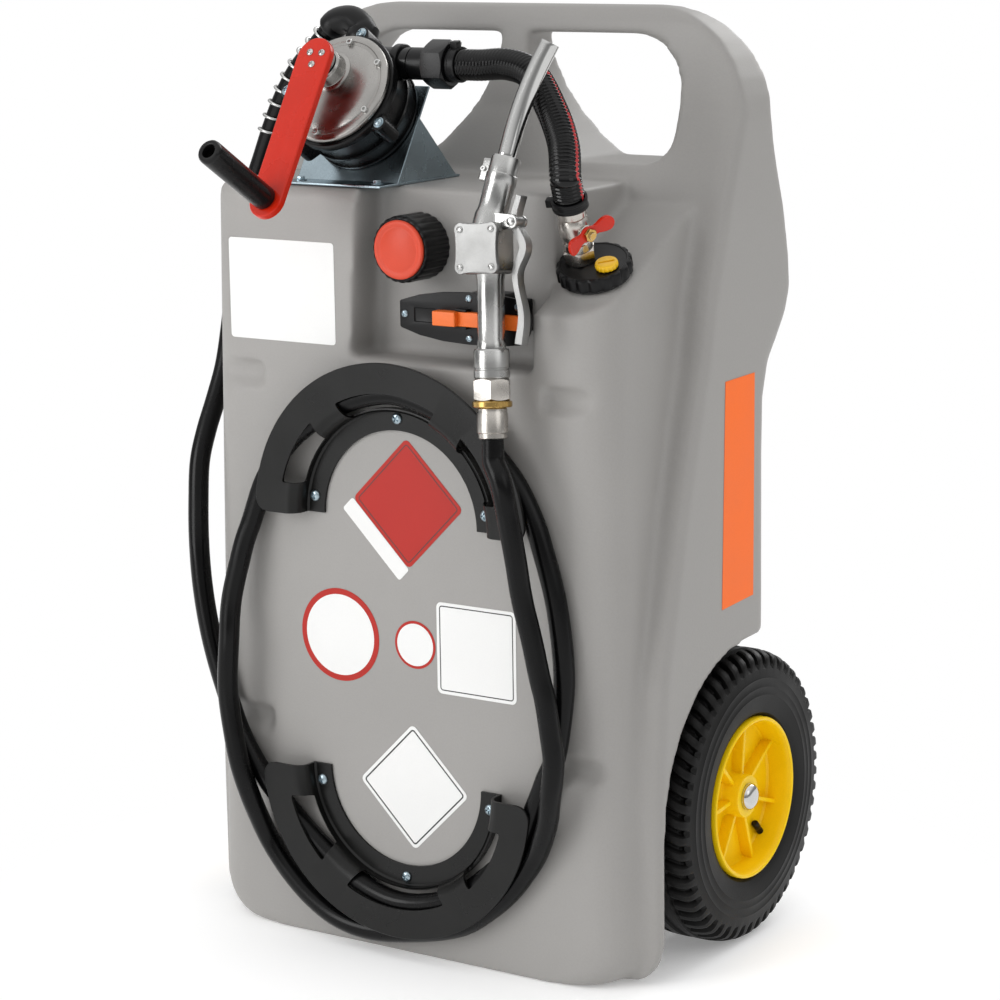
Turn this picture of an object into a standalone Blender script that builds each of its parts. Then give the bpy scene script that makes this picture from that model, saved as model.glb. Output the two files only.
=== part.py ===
"""Mobile fuel caddy: a moulded tank on two wheels with a rotary hand pump, a nozzle in its holster,
a delivery hose wound on two holders, and a suction hose with a ball valve. Metres, Z up, front at -Y."""
import math

import bmesh
import bpy
from mathutils import Matrix, Vector

MM = 0.001

# Clearances
GAP = 0.3 * MM
OVERRUN = 20 * MM

# Tank: overall sizes, walls and edges
TANK_HEIGHT = 1015 * MM
TANK_HALF_WIDTH = 290 * MM
TANK_DEPTH = 340 * MM
TANK_WALL = 6 * MM
TANK_EDGE_ROUND = 14 * MM
TANK_TOP_CORNER = 120 * MM
TANK_FOOT_CORNER = 45 * MM
BLOCK_FOOT_SETBACK = 18 * MM
BLOCK_HALF_FOOT = TANK_HALF_WIDTH - BLOCK_FOOT_SETBACK
BLOCK_TOP_SETBACK = 37 * MM
BLOCK_HALF_TOP = TANK_HALF_WIDTH - BLOCK_TOP_SETBACK
BLOCK_FRONT_CORNER = 45 * MM
BLOCK_DEPTH = 250 * MM
HANDLE_RISE = 182 * MM
PLATFORM_Z = TANK_HEIGHT - HANDLE_RISE
PLATFORM_ROUND = 12 * MM
PLATFORM_THICKNESS = 33 * MM
CAVITY_TOP_Z = PLATFORM_Z - PLATFORM_THICKNESS

# The frame's front and rear edges, as shares of the tank's depth and height
FRONT_EDGE_SHARES = [
    (0.118, 0.000), (0.118, 0.207), (0.147, 0.325), (0.200, 0.394), (0.271, 0.493),
    (0.338, 0.571), (0.403, 0.640), (0.450, 0.709), (0.500, 0.759), (0.544, 0.808),
    (0.588, 0.847), (0.641, 0.892), (0.672, 0.946), (0.694, 0.985), (0.720, 1.000),
]
REAR_EDGE_SHARES = [
    (0.790, 1.000), (0.824, 0.985), (0.838, 0.966), (0.856, 0.926), (0.871, 0.887),
    (0.888, 0.857), (0.912, 0.830), (0.956, 0.788), (0.988, 0.739), (1.000, 0.701),
    (0.968, 0.672), (0.915, 0.649), (0.853, 0.624), (0.821, 0.589), (0.815, 0.532),
    (0.818, 0.371), (0.809, 0.099), (0.765, 0.035), (0.300, 0.000),
]

# Handle windows and the post between them, as half widths of the post over height
HANDLE_SIDE_WIDTH = 77 * MM
WINDOW_HALF_WIDTH = TANK_HALF_WIDTH - HANDLE_SIDE_WIDTH
HANDLE_BAR_HEIGHT = 30 * MM
WINDOW_TOP_Z = TANK_HEIGHT - HANDLE_BAR_HEIGHT
WINDOW_SILL = 17 * MM
WINDOW_FLOOR_Z = PLATFORM_Z + WINDOW_SILL
WINDOW_CORNER = 62 * MM
WINDOW_FLOOR_CORNER = 30 * MM
POST_HALF_TOP = 17 * MM
POST_HALF_FOOT = 96 * MM

# Niche for the fill cap and the nozzle, and the sloped shoulder on the right
NICHE_LEFT_X = -60 * MM
NICHE_FROM_SIDE = 122 * MM
NICHE_RIGHT_X = TANK_HALF_WIDTH - NICHE_FROM_SIDE
NICHE_HEIGHT = 178 * MM
NICHE_FLOOR_Z = PLATFORM_Z - NICHE_HEIGHT
NICHE_DEPTH = 45 * MM
NICHE_SLANT = 12 * MM
SHOULDER_DROP = 118 * MM
SHOULDER_FRONT_Z = PLATFORM_Z - SHOULDER_DROP
SHOULDER_TILT = math.radians(28)

# Strap grooves across both columns
GROOVE_DEPTH = 9 * MM
GROOVE_HEIGHT = 38 * MM
GROOVE_LENGTH = 112 * MM
GROOVE_INNER_X = TANK_HALF_WIDTH - GROOVE_LENGTH
GROOVE_CENTRE_SHARES = (0.6128, 0.2305)

# Wheels, axle and wheel wells
WHEEL_RADIUS = 161.7 * MM
WHEEL_Y = 234 * MM
WHEEL_FROM_SIDE = 33 * MM
WHEEL_MID_X = TANK_HALF_WIDTH - WHEEL_FROM_SIDE
TYRE_WIDTH = 88 * MM
TYRE_WALL = 9 * MM
TYRE_BEAD_WIDTH = 72 * MM
RIM_RADIUS = 89.3 * MM
RIM_BARREL = 8 * MM
RIM_LIP = 6 * MM
RIM_WEB = 7 * MM
RIM_WEB_X = 6 * MM
RIM_RIBS = 7
RIM_RIB_THICKNESS = 5 * MM
RIM_RIB_HEIGHT = 20 * MM
HUB_RADIUS = 24 * MM
HUB_REACH = 34 * MM
TYRE_VALVE_RADIUS = 4 * MM
TYRE_VALVE_LENGTH = 26 * MM
AXLE_RADIUS = 10 * MM
WELL_CLEARANCE = 14 * MM
WELL_WIDTH = 87 * MM
WELL_WALL_X = TANK_HALF_WIDTH - WELL_WIDTH
AXLE_CAP_RADIUS = 15 * MM
AXLE_CAP_LENGTH = 9 * MM

# Hose and its two holders
HOSE_RADIUS = 11.4 * MM
HOLDER_UPPER_Z = 482 * MM
HOLDER_LOWER_Z = 199.7 * MM
HOLDER_INNER_RADIUS = 98 * MM
HOLDER_WALL_RADIUS = 123 * MM
HOLDER_RADIUS = 173.5 * MM
HOLDER_CHAMFER = 8 * MM
HOLDER_SHEET = 3 * MM
HOLDER_SLOT_RADIUS = 141 * MM
HOLDER_SLOT_DEPTH = 10 * MM
HOLDER_SLOTS = ((13, 48), (62, 118), (132, 167))
HOLDER_SLOT_TAPER = 2
HOLDER_STEPS = 19
HOLDER_SCREW_RADIUS = 111.5 * MM
HOLDER_END_LIFT = 7 * MM
SCREW_HEAD_RADIUS = 6 * MM
SCREW_HEAD_HEIGHT = 3 * MM
SCREW_SHANK_RADIUS = 2.5 * MM
SCREW_BITE = 4 * MM

# Hand pump: its axis leans up from the front
PUMP_LIFT = 99 * MM
PUMP_CENTRE = (-90 * MM, 30 * MM, PLATFORM_Z + PUMP_LIFT)
PUMP_TILT = math.radians(32)
PUMP_RADIUS = 66.5 * MM
PUMP_BODY_LENGTH = 60 * MM
PUMP_WALL = 6 * MM
PUMP_BORE_RADIUS = 46 * MM
PUMP_BORE_DEPTH = 40 * MM
COVER_RADIUS = 62.5 * MM
COVER_HEIGHT = 7 * MM
CRANK_RISE = 18 * MM
CRANK_SIDE = -11.7 * MM
SHAFT_RADIUS = 8 * MM
HUB_COLLAR_RADIUS = 19 * MM
HUB_COLLAR_HEIGHT = 18 * MM
ARM_BACK = 35 * MM
SHAFT_FLANGE_RADIUS = 17 * MM
SHAFT_FLANGE_HEIGHT = 7 * MM
CRANK_PIN_RADIUS = 5.4 * MM
CRANK_PIN_HEAD = 8.5 * MM
CRANK_PIN_HEAD_HEIGHT = 3 * MM
CRANK_LENGTH = 168 * MM
CRANK_HALF_WIDTH = 21 * MM
CRANK_END_HALF_WIDTH = 20 * MM
CRANK_THICKNESS = 9 * MM
GRIP_RADIUS = 12.5 * MM
GRIP_BORE = 6 * MM
GRIP_LENGTH = 104 * MM
PORT_HEIGHT = 48 * MM
PORT_DEPTH = 26 * MM
PORT_RADIUS = 17 * MM
PORT_BORE = 10 * MM
INLET_REACH = 64 * MM
OUTLET_REACH = 70 * MM
OUTLET_SIDE = -14 * MM
BEARING_DEPTH = 14 * MM
ROTOR_RADIUS = 23.5 * MM
VANE_THICKNESS = 4 * MM
VANES = 2
BRACKET_SHEET = 2.5 * MM
BRACKET_HALF_WIDTH = 66 * MM
BRACKET_FRONT_Y = 8 * MM
BRACKET_REAR_Y = 158 * MM

# Suction side: union nut, ribbed hose, ball valve, flange and dip tube
SUCTION_RADIUS = 16.5 * MM
SUCTION_BORE = 12 * MM
SUCTION_RIB_DEPTH = 1.8 * MM
SUCTION_RIB_PITCH = 5.6 * MM
UNION_FLAT_HALF = 22.5 * MM
UNION_LENGTH = 27 * MM
ADAPTER_RADIUS = 12 * MM
CLAMP_WIDTH = 11 * MM
CLAMP_SHEET = 1.5 * MM
FLANGE_FROM_SIDE = 80 * MM
FLANGE_X = TANK_HALF_WIDTH - FLANGE_FROM_SIDE
FLANGE_Y = 56.6 * MM
FLANGE_RADIUS = 39.5 * MM
FLANGE_HEIGHT = 15 * MM
FLANGE_LOBES = 18
GASKET_HEIGHT = 2 * MM
GASKET_RADIUS = 36 * MM
PORT_BORE_RADIUS = 28 * MM
PORT_LEAN = math.radians(25)
PORT_SIDE_LEAN = math.radians(5)
PORT_SEAT_LIFT = 5 * MM
VALVE_OFFSET_X = -15 * MM
VALVE_HEX_HALF = 15.5 * MM
VALVE_HEX_HEIGHT = 14 * MM
VALVE_RADIUS = 16.5 * MM
VALVE_HEIGHT = 46 * MM
VALVE_BORE = 8 * MM
VALVE_BALL_RADIUS = 11.8 * MM
VALVE_WAIST_RADIUS = 13.5 * MM
VALVE_STEM_RADIUS = 4 * MM
VALVE_STEM_REACH = 30 * MM
VALVE_STEM_TURN = math.radians(20)
STEM_BOSS_RADIUS = 8 * MM
STEM_BOSS_REACH = 19 * MM
WING_SPAN = 31 * MM
WING_HALF_WIDTH = 8 * MM
WING_THICKNESS = 4 * MM
WING_TILT = math.radians(8)
VENT_CAP_RADIUS = 12 * MM
VENT_CAP_HEIGHT = 7 * MM
VENT_CAP_OFFSET_X = 20 * MM
VENT_CAP_OFFSET_Y = -6 * MM
DIP_TUBE_RADIUS = 9 * MM
STRAINER_RADIUS = 17 * MM
STRAINER_HEIGHT = 46 * MM

# Fill neck and cap
CAP_X = 4 * MM
CAP_DROP = 61.5 * MM
CAP_Z = PLATFORM_Z - CAP_DROP
NECK_RADIUS = 27.5 * MM
NECK_BORE = 22.5 * MM
NECK_LENGTH = 25 * MM
CAP_RADIUS = 35.5 * MM
CAP_LENGTH = 43 * MM
CAP_RIBS = 24
CAP_RIB_DEPTH = 1.2 * MM
CAP_SEAL_HEIGHT = 2 * MM
CAP_DISC_RADIUS = 31 * MM
CAP_DISC_HEIGHT = 3 * MM

# Nozzle: its axis leans back, measured up from the end of the hose ferrule
NOZZLE_FROM_WALL = 17.5 * MM
NOZZLE_DROP = 63 * MM
NOZZLE_FOOT = (NICHE_RIGHT_X - NOZZLE_FROM_WALL, -49 * MM, NICHE_FLOOR_Z - NOZZLE_DROP)
NOZZLE_LEAN = math.radians(6.7)
NOZZLE_SIDE_LEAN = math.radians(4.4)
FERRULE_RADIUS = 16 * MM
FERRULE_LENGTH = 32 * MM
BRASS_RING_RADIUS = 20.5 * MM
BRASS_RING_LENGTH = 6.5 * MM
SWIVEL_HALF = 18 * MM
SWIVEL_LENGTH = 22 * MM
COLLAR_RADIUS = 18.5 * MM
COLLAR_LENGTH = 30 * MM
TUBE_RADIUS = 14 * MM
TUBE_LENGTH = 75 * MM
CHEST_LEFT = 23 * MM
CHEST_RIGHT = 19 * MM
CHEST_FRONT = 18.5 * MM
CHEST_BACK = 17 * MM
CHEST_LENGTH = 52 * MM
NOSE_RADIUS = 15.5 * MM
NOSE_LENGTH = 68 * MM
NOSE_LEAN = math.radians(13)
NOSE_SIDE_LEAN = math.radians(10)
NOZZLE_BORE = 9 * MM
SPOUT_RADIUS = 10 * MM
SPOUT_BORE = 8 * MM
SPOUT_REACH = 16 * MM
SPOUT_RISE = 122 * MM
SPOUT_SHARES = [(0.0, 0.0), (0.0, 0.25), (0.15, 0.5), (0.5, 0.75), (1.0, 1.0)]
COVER_PLATE_HALF = 26 * MM
COVER_PLATE_THICKNESS = 5 * MM
LEVER_HALF_WIDTH = 6 * MM
LEVER_PIVOT_X = 32 * MM
LEVER_LENGTH = 123 * MM
LEVER_THICKNESS = 7 * MM
LEVER_PIN_RADIUS = 3 * MM
EAR_THICKNESS = 4 * MM
EAR_RADIUS = 7 * MM

# The lever's centre line: sideways from its pivot and down from it, as shares of its length
LEVER_LINE_SHARES = [(0.057, -0.211), (0.0, 0.0), (0.089, 0.203), (0.010, 0.423), (0.065, 0.772), (0.033, 1.0)]

# Holster in the niche
HOLSTER_FROM_WALL = 156 * MM
HOLSTER_LEFT_X = NICHE_RIGHT_X - HOLSTER_FROM_WALL
HOLSTER_WALL_GAP = 8 * MM
HOLSTER_RIGHT_X = NICHE_RIGHT_X - HOLSTER_WALL_GAP
HOLSTER_LIFT = 25 * MM
HOLSTER_FLOOR_Z = NICHE_FLOOR_Z + HOLSTER_LIFT
HOLSTER_HEIGHT = 54 * MM
HOLSTER_TOP_Z = HOLSTER_FLOOR_Z + HOLSTER_HEIGHT
HOLSTER_SHEET = 4 * MM
HOLSTER_OVERHANG = 11.2 * MM
HOLSTER_REACH = NICHE_DEPTH + HOLSTER_OVERHANG
HOLSTER_STEM_START = 68 * MM
HOLSTER_STEM_END = 112 * MM
HOLSTER_STEM_X = (HOLSTER_LEFT_X + HOLSTER_STEM_START, HOLSTER_LEFT_X + HOLSTER_STEM_END)
HOLSTER_STEM_INSET = 4 * MM
HOLSTER_FOOT_HALF = 17 * MM
HOLSTER_TIP_HALF = 13 * MM
HOLSTER_TAPER_SHARES = [(0.58, 1.0), (0.36, 0.93), (0.17, 0.77)]
LATCH_START = 50 * MM
LATCH_LEFT_X = HOLSTER_LEFT_X + LATCH_START
LATCH_END = 156 * MM
LATCH_RIGHT_X = HOLSTER_LEFT_X + LATCH_END
LATCH_GRIP_WIDTH = 28 * MM
LATCH_GRIP_THICKNESS = 14 * MM
LATCH_HEIGHT = 15 * MM
LATCH_THICKNESS = 8 * MM
LATCH_GUIDE_START = 28 * MM
LATCH_GUIDE_END = 36 * MM
LATCH_GUIDE_X = (LATCH_LEFT_X + LATCH_GUIDE_START, LATCH_LEFT_X + LATCH_GUIDE_END)
LATCH_GUIDE_HEIGHT = 2.5 * MM

# The suction hose's middle points, as shares of the way from its upper to its lower straight end
SUCTION_SHARES = [(0.238, 0.015, -0.015), (0.466, 0.125, 0.06), (0.701, 0.39, 0.345), (0.906, 0.722, 0.699)]

# Spring guard on the delivery hose
SPRING_WIRE = 3.2 * MM
SPRING_GAP = 0.7 * MM
SPRING_TURNS = 9
SPRING_POINTS = 8
SPRING_START = 6 * MM
SPRING_LENGTH = 154 * MM
ELBOW_RADIUS = 14 * MM
ELBOW_BORE = 8 * MM

# Delivery hose: its depth in front of the panel round the holders
HOSE_LAYER_ONE_Y = -GAP * 4 / 3 - HOSE_RADIUS
HOSE_SPACING = 41 * MM

# Mesh fineness
ROUND_STEPS = 28
SMALL_STEPS = 12
BOLT_STEPS = 8


def clear_scene():
    """Remove every object of the open file."""
    for old in list(bpy.data.objects):
        bpy.data.objects.remove(old, do_unlink=True)


def material(name, colour, roughness, metallic=0.0):
    """A Principled material in one colour."""
    made = bpy.data.materials.get(name)
    if made:
        return made
    made = bpy.data.materials.new(name)
    made.use_nodes = True
    shader = made.node_tree.nodes["Principled BSDF"]
    shader.inputs["Base Color"].default_value = (*colour, 1.0)
    shader.inputs["Roughness"].default_value = roughness
    shader.inputs["Metallic"].default_value = metallic
    return made


GREY_TANK = ("grey_moulded_plastic", (0.40, 0.40, 0.385), 0.50)
BLACK_PLASTIC = ("black_plastic", (0.02, 0.02, 0.02), 0.45)
RED_PAINT = ("red_paint", (0.75, 0.05, 0.02), 0.35)
RED_PLASTIC = ("red_plastic", (0.85, 0.10, 0.06), 0.45)
CHROME = ("chromed_steel", (0.75, 0.75, 0.74), 0.15, 1.0)
ZINC = ("zinc_plate", (0.55, 0.60, 0.62), 0.35, 1.0)
CAST_ALUMINIUM = ("cast_aluminium", (0.62, 0.62, 0.61), 0.42, 1.0)
NICKEL = ("nickel_plate", (0.66, 0.62, 0.56), 0.28, 1.0)
BRASS = ("brass", (0.65, 0.42, 0.15), 0.32, 1.0)
STEEL = ("bright_steel", (0.60, 0.60, 0.60), 0.30, 1.0)
BLACK_RUBBER = ("black_rubber", (0.015, 0.015, 0.015), 0.60)
YELLOW_PLASTIC = ("yellow_plastic", (0.90, 0.55, 0.01), 0.40)
ORANGE_PLASTIC = ("orange_plastic", (0.90, 0.22, 0.02), 0.40)
SEAL_RUBBER = ("seal_rubber", (0.03, 0.03, 0.03), 0.70)


def put(name, bm, finish, parent=None):
    """Turn a bmesh into a named object with one finish, its faces turned outwards."""
    bmesh.ops.remove_doubles(bm, verts=bm.verts, dist=GAP / 100)
    bmesh.ops.recalc_face_normals(bm, faces=bm.faces)
    mesh = bpy.data.meshes.new(name)
    bm.to_mesh(mesh)
    bm.free()
    made = bpy.data.objects.new(name, mesh)
    bpy.context.collection.objects.link(made)
    made.data.materials.append(material(*finish))
    made.parent = parent
    return made


def smooth(made, angle=math.radians(40)):
    """Shade a round piece smooth, with its real edges kept sharp."""
    made.data.shade_smooth()
    made.data.set_sharp_from_angle(angle=angle)
    return made


def prism(name, outline, start, end, axis, finish=GREY_TANK, parent=None):
    """A straight extrusion of an outline. Axis X takes (y, z) points, Y takes (x, z), Z takes (x, y)."""
    spread = {
        "X": lambda a, b, c: (c, a, b),
        "Y": lambda a, b, c: (a, c, b),
        "Z": lambda a, b, c: (a, b, c),
    }[axis]
    bm = bmesh.new()
    rings = [[bm.verts.new(spread(a, b, c)) for a, b in outline] for c in (start, end)]
    bm.faces.new(rings[0])
    bm.faces.new(list(reversed(rings[1])))
    for first, second in zip(range(len(outline)), [*range(1, len(outline)), 0]):
        bm.faces.new((rings[0][second], rings[0][first], rings[1][first], rings[1][second]))
    return put(name, bm, finish, parent)


def box(name, x_range, y_range, z_range, finish=GREY_TANK, parent=None):
    """A plain block between two corners."""
    (x0, x1), (y0, y1) = x_range, y_range
    return prism(name, [(x0, y0), (x1, y0), (x1, y1), (x0, y1)], *z_range, "Z", finish, parent)


def lathe(name, profile, finish, parent=None, steps=ROUND_STEPS, lobes=0, lobe_depth=0.0, lobe_from=0.0):
    """Turn (radius, height) points about Z. Lobes press a knurl into every point beyond lobe_from."""
    bm = bmesh.new()
    closed = all(radius > 0 for radius, _ in profile)
    steps = lobes * 2 if lobes else steps
    rings = []
    for radius, height in profile:
        if radius <= 0:
            rings.append([bm.verts.new((0, 0, height))])
            continue
        ring = []
        for step in range(steps):
            turn = math.tau * step / steps
            pressed = lobe_depth if lobes and radius > lobe_from and step % 2 else 0.0
            reach = radius - pressed
            ring.append(bm.verts.new((reach * math.cos(turn), reach * math.sin(turn), height)))
        rings.append(ring)
    pairs = list(zip(rings, rings[1:]))
    if closed:
        pairs.append((rings[-1], rings[0]))

    def flat(low, high):
        return min(len(low), len(high)) == 1 and low[0].co.z == high[0].co.z

    for low, high in pairs:
        if flat(low, high):
            ring = max(low, high, key=len)
            bm.faces.new(ring)
            continue
        for step in range(steps):
            after = (step + 1) % steps
            if len(low) == 1 and len(high) == 1:
                continue
            if len(low) == 1:
                bm.faces.new((low[0], high[step], high[after]))
            elif len(high) == 1:
                bm.faces.new((low[after], low[step], high[0]))
            else:
                bm.faces.new((low[after], low[step], high[step], high[after]))
    lone = [v for v in bm.verts if not v.link_faces]
    bmesh.ops.delete(bm, geom=lone, context="VERTS")
    return smooth(put(name, bm, finish, parent))


def rod(name, radius, start, end, finish, parent=None, steps=SMALL_STEPS, bore=0.0):
    """A round bar or tube along Z."""
    if bore:
        profile = [(bore, start), (radius, start), (radius, end), (bore, end)]
    else:
        profile = [(0, start), (radius, start), (radius, end), (0, end)]
    return lathe(name, profile, finish, parent, steps)


def hexagon(half_flat):
    """The six corners of a nut, from half its width across flats."""
    reach = half_flat / math.cos(math.pi / 6)
    return [(reach * math.cos(math.tau * k / 6), reach * math.sin(math.tau * k / 6)) for k in range(6)]


def circle(radius, steps):
    return [(radius * math.cos(math.tau * k / steps), radius * math.sin(math.tau * k / steps))
            for k in range(steps)]


def arc(centre, radius, start, end, steps):
    """Points on an arc, in degrees."""
    points = []
    for step in range(steps + 1):
        turn = math.radians(start + (end - start) * step / steps)
        points.append((centre[0] + radius * math.cos(turn), centre[1] + radius * math.sin(turn)))
    return points


def turned(made, matrix):
    """Bake a matrix into an object's mesh."""
    made.data.transform(matrix)
    if matrix.determinant() < 0:
        made.data.flip_normals()
    return made


def combine(target, others, operation):
    """Apply one Boolean for each other solid, in the target's own frame, then drop those solids."""
    carrier = target.parent
    target.parent = None
    for other in others:
        step = target.modifiers.new("step", "BOOLEAN")
        step.operation = operation
        step.solver = "EXACT"
        step.object = other
        bpy.context.view_layer.update()
        graph = bpy.context.evaluated_depsgraph_get()
        mesh = bpy.data.meshes.new_from_object(target.evaluated_get(graph))
        target.modifiers.clear()
        target.data = mesh
        bpy.data.objects.remove(other, do_unlink=True)
    target.parent = carrier
    return target


def join(target, *others):
    return combine(target, others, "UNION")


def cut(target, *others):
    return combine(target, others, "DIFFERENCE")


def overlap(target, *others):
    return combine(target, others, "INTERSECT")


def bevelled(made, width, segments=2, angle=math.radians(40)):
    """Round the sharp edges with an applied Bevel modifier."""
    step = made.modifiers.new("round", "BEVEL")
    step.width = width
    step.segments = segments
    step.limit_method = "ANGLE"
    step.angle_limit = angle
    bpy.context.view_layer.update()
    graph = bpy.context.evaluated_depsgraph_get()
    mesh = bpy.data.meshes.new_from_object(made.evaluated_get(graph))
    made.modifiers.clear()
    made.data = mesh
    return made


def offset_outline(outline, distance):
    """Move each corner of a closed outline inwards by the distance, along its mitre."""
    area = sum(a[0] * b[1] - b[0] * a[1] for a, b in zip(outline, outline[1:] + outline[:1]))
    side = 1 if area > 0 else -1
    moved = []
    for before, here, after in zip(outline[-1:] + outline[:-1], outline, outline[1:] + outline[:1]):
        into = (Vector(here) - Vector(before)).normalized()
        out = (Vector(after) - Vector(here)).normalized()
        normal_in = Vector((-into.y, into.x)) * side
        normal_out = Vector((-out.y, out.x)) * side
        mitre = (normal_in + normal_out).normalized()
        reach = distance / max(mitre.dot(normal_out), 0.4)
        moved.append((here[0] + mitre.x * reach, here[1] + mitre.y * reach))
    return moved


def smooth_path(points, spacing, lead=None, tail=None):
    """Points at even spacing along a centripetal Catmull-Rom curve, shaped at its ends by lead and tail."""
    knots = [Vector(p) for p in points]
    lead = lead or 2 * knots[0] - knots[1]
    tail = tail or 2 * knots[-1] - knots[-2]
    knots = [lead, *knots, tail]
    fine = []
    steps = 24
    for a, b, c, d in zip(knots, knots[1:], knots[2:], knots[3:]):
        t0 = 0.0
        t1 = t0 + math.sqrt((b - a).length)
        t2 = t1 + math.sqrt((c - b).length)
        t3 = t2 + math.sqrt((d - c).length)
        for step in range(steps):
            t = t1 + (t2 - t1) * step / steps
            a1 = a * ((t1 - t) / (t1 - t0)) + b * ((t - t0) / (t1 - t0))
            a2 = b * ((t2 - t) / (t2 - t1)) + c * ((t - t1) / (t2 - t1))
            a3 = c * ((t3 - t) / (t3 - t2)) + d * ((t - t2) / (t3 - t2))
            b1 = a1 * ((t2 - t) / (t2 - t0)) + a2 * ((t - t0) / (t2 - t0))
            b2 = a2 * ((t3 - t) / (t3 - t1)) + a3 * ((t - t1) / (t3 - t1))
            fine.append(b1 * ((t2 - t) / (t2 - t1)) + b2 * ((t - t1) / (t2 - t1)))
    fine.append(knots[-2])
    lengths = [0.0]
    for before, here in zip(fine, fine[1:]):
        lengths.append(lengths[-1] + (here - before).length)
    count = max(2, round(lengths[-1] / spacing))
    even = []
    index = 0
    for step in range(count + 1):
        goal = lengths[-1] * step / count
        while index < len(lengths) - 2 and lengths[index + 1] < goal:
            index += 1
        share = (goal - lengths[index]) / (lengths[index + 1] - lengths[index])
        even.append(fine[index].lerp(fine[index + 1], share))
    return even


def straight_ended(points, spacing):
    """A smooth path whose first and last stretches run straight between their knots."""
    knots = [Vector(p) for p in points]
    middle = smooth_path(knots[1:-1], spacing, knots[0], knots[-1])
    head = even_steps(knots[0], knots[1], spacing)
    foot = even_steps(knots[-2], knots[-1], spacing)
    return [*head[:-1], *middle, *foot[1:]]


def even_steps(start, end, spacing):
    count = max(1, round((end - start).length / spacing))
    return [start.lerp(end, k / count) for k in range(count + 1)]


def along(points, spacing, count):
    """Points at even spacing on a broken line, from its start."""
    found = []
    index = 0
    passed = 0.0
    for step in range(count):
        goal = step * spacing
        while passed + (points[index + 1] - points[index]).length < goal:
            passed += (points[index + 1] - points[index]).length
            index += 1
        way = (points[index + 1] - points[index]).normalized()
        found.append(points[index] + way * (goal - passed))
    return found


def path_length(points):
    return sum((b - a).length for a, b in zip(points, points[1:]))


def tube_curve(name, points, radius, resolution, finish):
    """A round tube along the points, as a curve object with filled caps."""
    curve = bpy.data.curves.new(name, "CURVE")
    curve.dimensions = "3D"
    curve.bevel_depth = radius
    curve.bevel_resolution = resolution
    curve.use_fill_caps = True
    spline = curve.splines.new("POLY")
    spline.points.add(len(points) - 1)
    for knot, place in zip(spline.points, points):
        knot.co = (*place, 1.0)
    curve.materials.append(material(*finish))
    made = bpy.data.objects.new(name, curve)
    bpy.context.collection.objects.link(made)
    return made


def frames_along(points):
    """A side and an up vector at each point, carried along the path without twist."""
    tangents = []
    for index in range(len(points)):
        before = points[max(index - 1, 0)]
        after = points[min(index + 1, len(points) - 1)]
        tangents.append((after - before).normalized())
    side = tangents[0].orthogonal().normalized()
    frames = []
    for tangent in tangents:
        side = (side - tangent * side.dot(tangent)).normalized()
        frames.append((side, tangent.cross(side)))
    return frames


def sweep(name, points, radii, bore, finish, sides=8, parent=None, bore_skip=1):
    """A tube of changing radius with a plain bore, closed by a ring at each end."""
    bm = bmesh.new()
    frames = frames_along(points)

    def ring(place, frame, radius):
        made = []
        for step in range(sides):
            turn = math.tau * step / sides
            reach = frame[0] * math.cos(turn) + frame[1] * math.sin(turn)
            made.append(bm.verts.new(place + reach * radius))
        return made

    loops = [ring(p, f, r) for p, f, r in zip(points, frames, radii)]
    inner_steps = range(len(points) - 1, -1, -bore_skip)
    inner = [ring(points[i], frames[i], bore) for i in inner_steps]
    if inner_steps[-1] != 0:
        inner.append(ring(points[0], frames[0], bore))
    loops += inner
    for low, high in zip(loops, loops[1:] + loops[:1]):
        for step in range(sides):
            after = (step + 1) % sides
            bm.faces.new((low[step], low[after], high[after], high[step]))
    return smooth(put(name, bm, finish, parent))


def least_gap(points, radius, skip):
    """The least distance between the surfaces of two parts of one tube further apart than skip."""
    least = None
    for i, a in enumerate(points):
        for b in points[i + skip:]:
            gap = (a - b).length - 2 * radius
            if least is None or gap < least:
                least = gap
    return least


def pose(name, location, rotation=(0.0, 0.0, 0.0)):
    """An empty that carries a group of pieces."""
    made = bpy.data.objects.new(name, None)
    bpy.context.collection.objects.link(made)
    made.location = location
    made.rotation_euler = rotation
    return made


def screw(head_radius, head_height, shank_radius, shank_length, finish):
    """A pan head screw about Z: its head above zero, its shank below."""
    profile = [
        (0, -shank_length), (shank_radius, -shank_length), (shank_radius, 0), (head_radius, 0),
        (head_radius, head_height), (0, head_height),
    ]
    return lathe("screw", profile, finish, steps=BOLT_STEPS)


# Tank

def scaled(shares):
    return [(a * TANK_DEPTH, b * TANK_HEIGHT) for a, b in shares]


def shoulder_z(y):
    return SHOULDER_FRONT_Z + y * math.tan(SHOULDER_TILT)


def block_levels(inset):
    """Height, half width and front edge of the front body, from its rounded foot to its rounded top."""
    foot = BLOCK_HALF_FOOT - inset
    low = TANK_FOOT_CORNER - inset
    levels = []
    for step in range(6):
        turn = math.radians(90) * step / 5
        levels.append((inset + low * (1 - math.cos(turn)), foot - low * (1 - math.sin(turn)), 0.0))
    edge = 0.0 if inset else PLATFORM_ROUND
    top_z = PLATFORM_Z - inset
    lean = (BLOCK_HALF_FOOT - BLOCK_HALF_TOP) / (PLATFORM_Z - TANK_FOOT_CORNER)
    steps = 4 if edge else 1
    for step in range(steps):
        turn = math.radians(90) * step / max(steps - 1, 1)
        z = top_z - edge * (1 - math.sin(turn))
        back = edge * (1 - math.cos(turn))
        levels.append((z, foot - lean * (z - inset - low) - back, back))
    return levels


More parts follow.
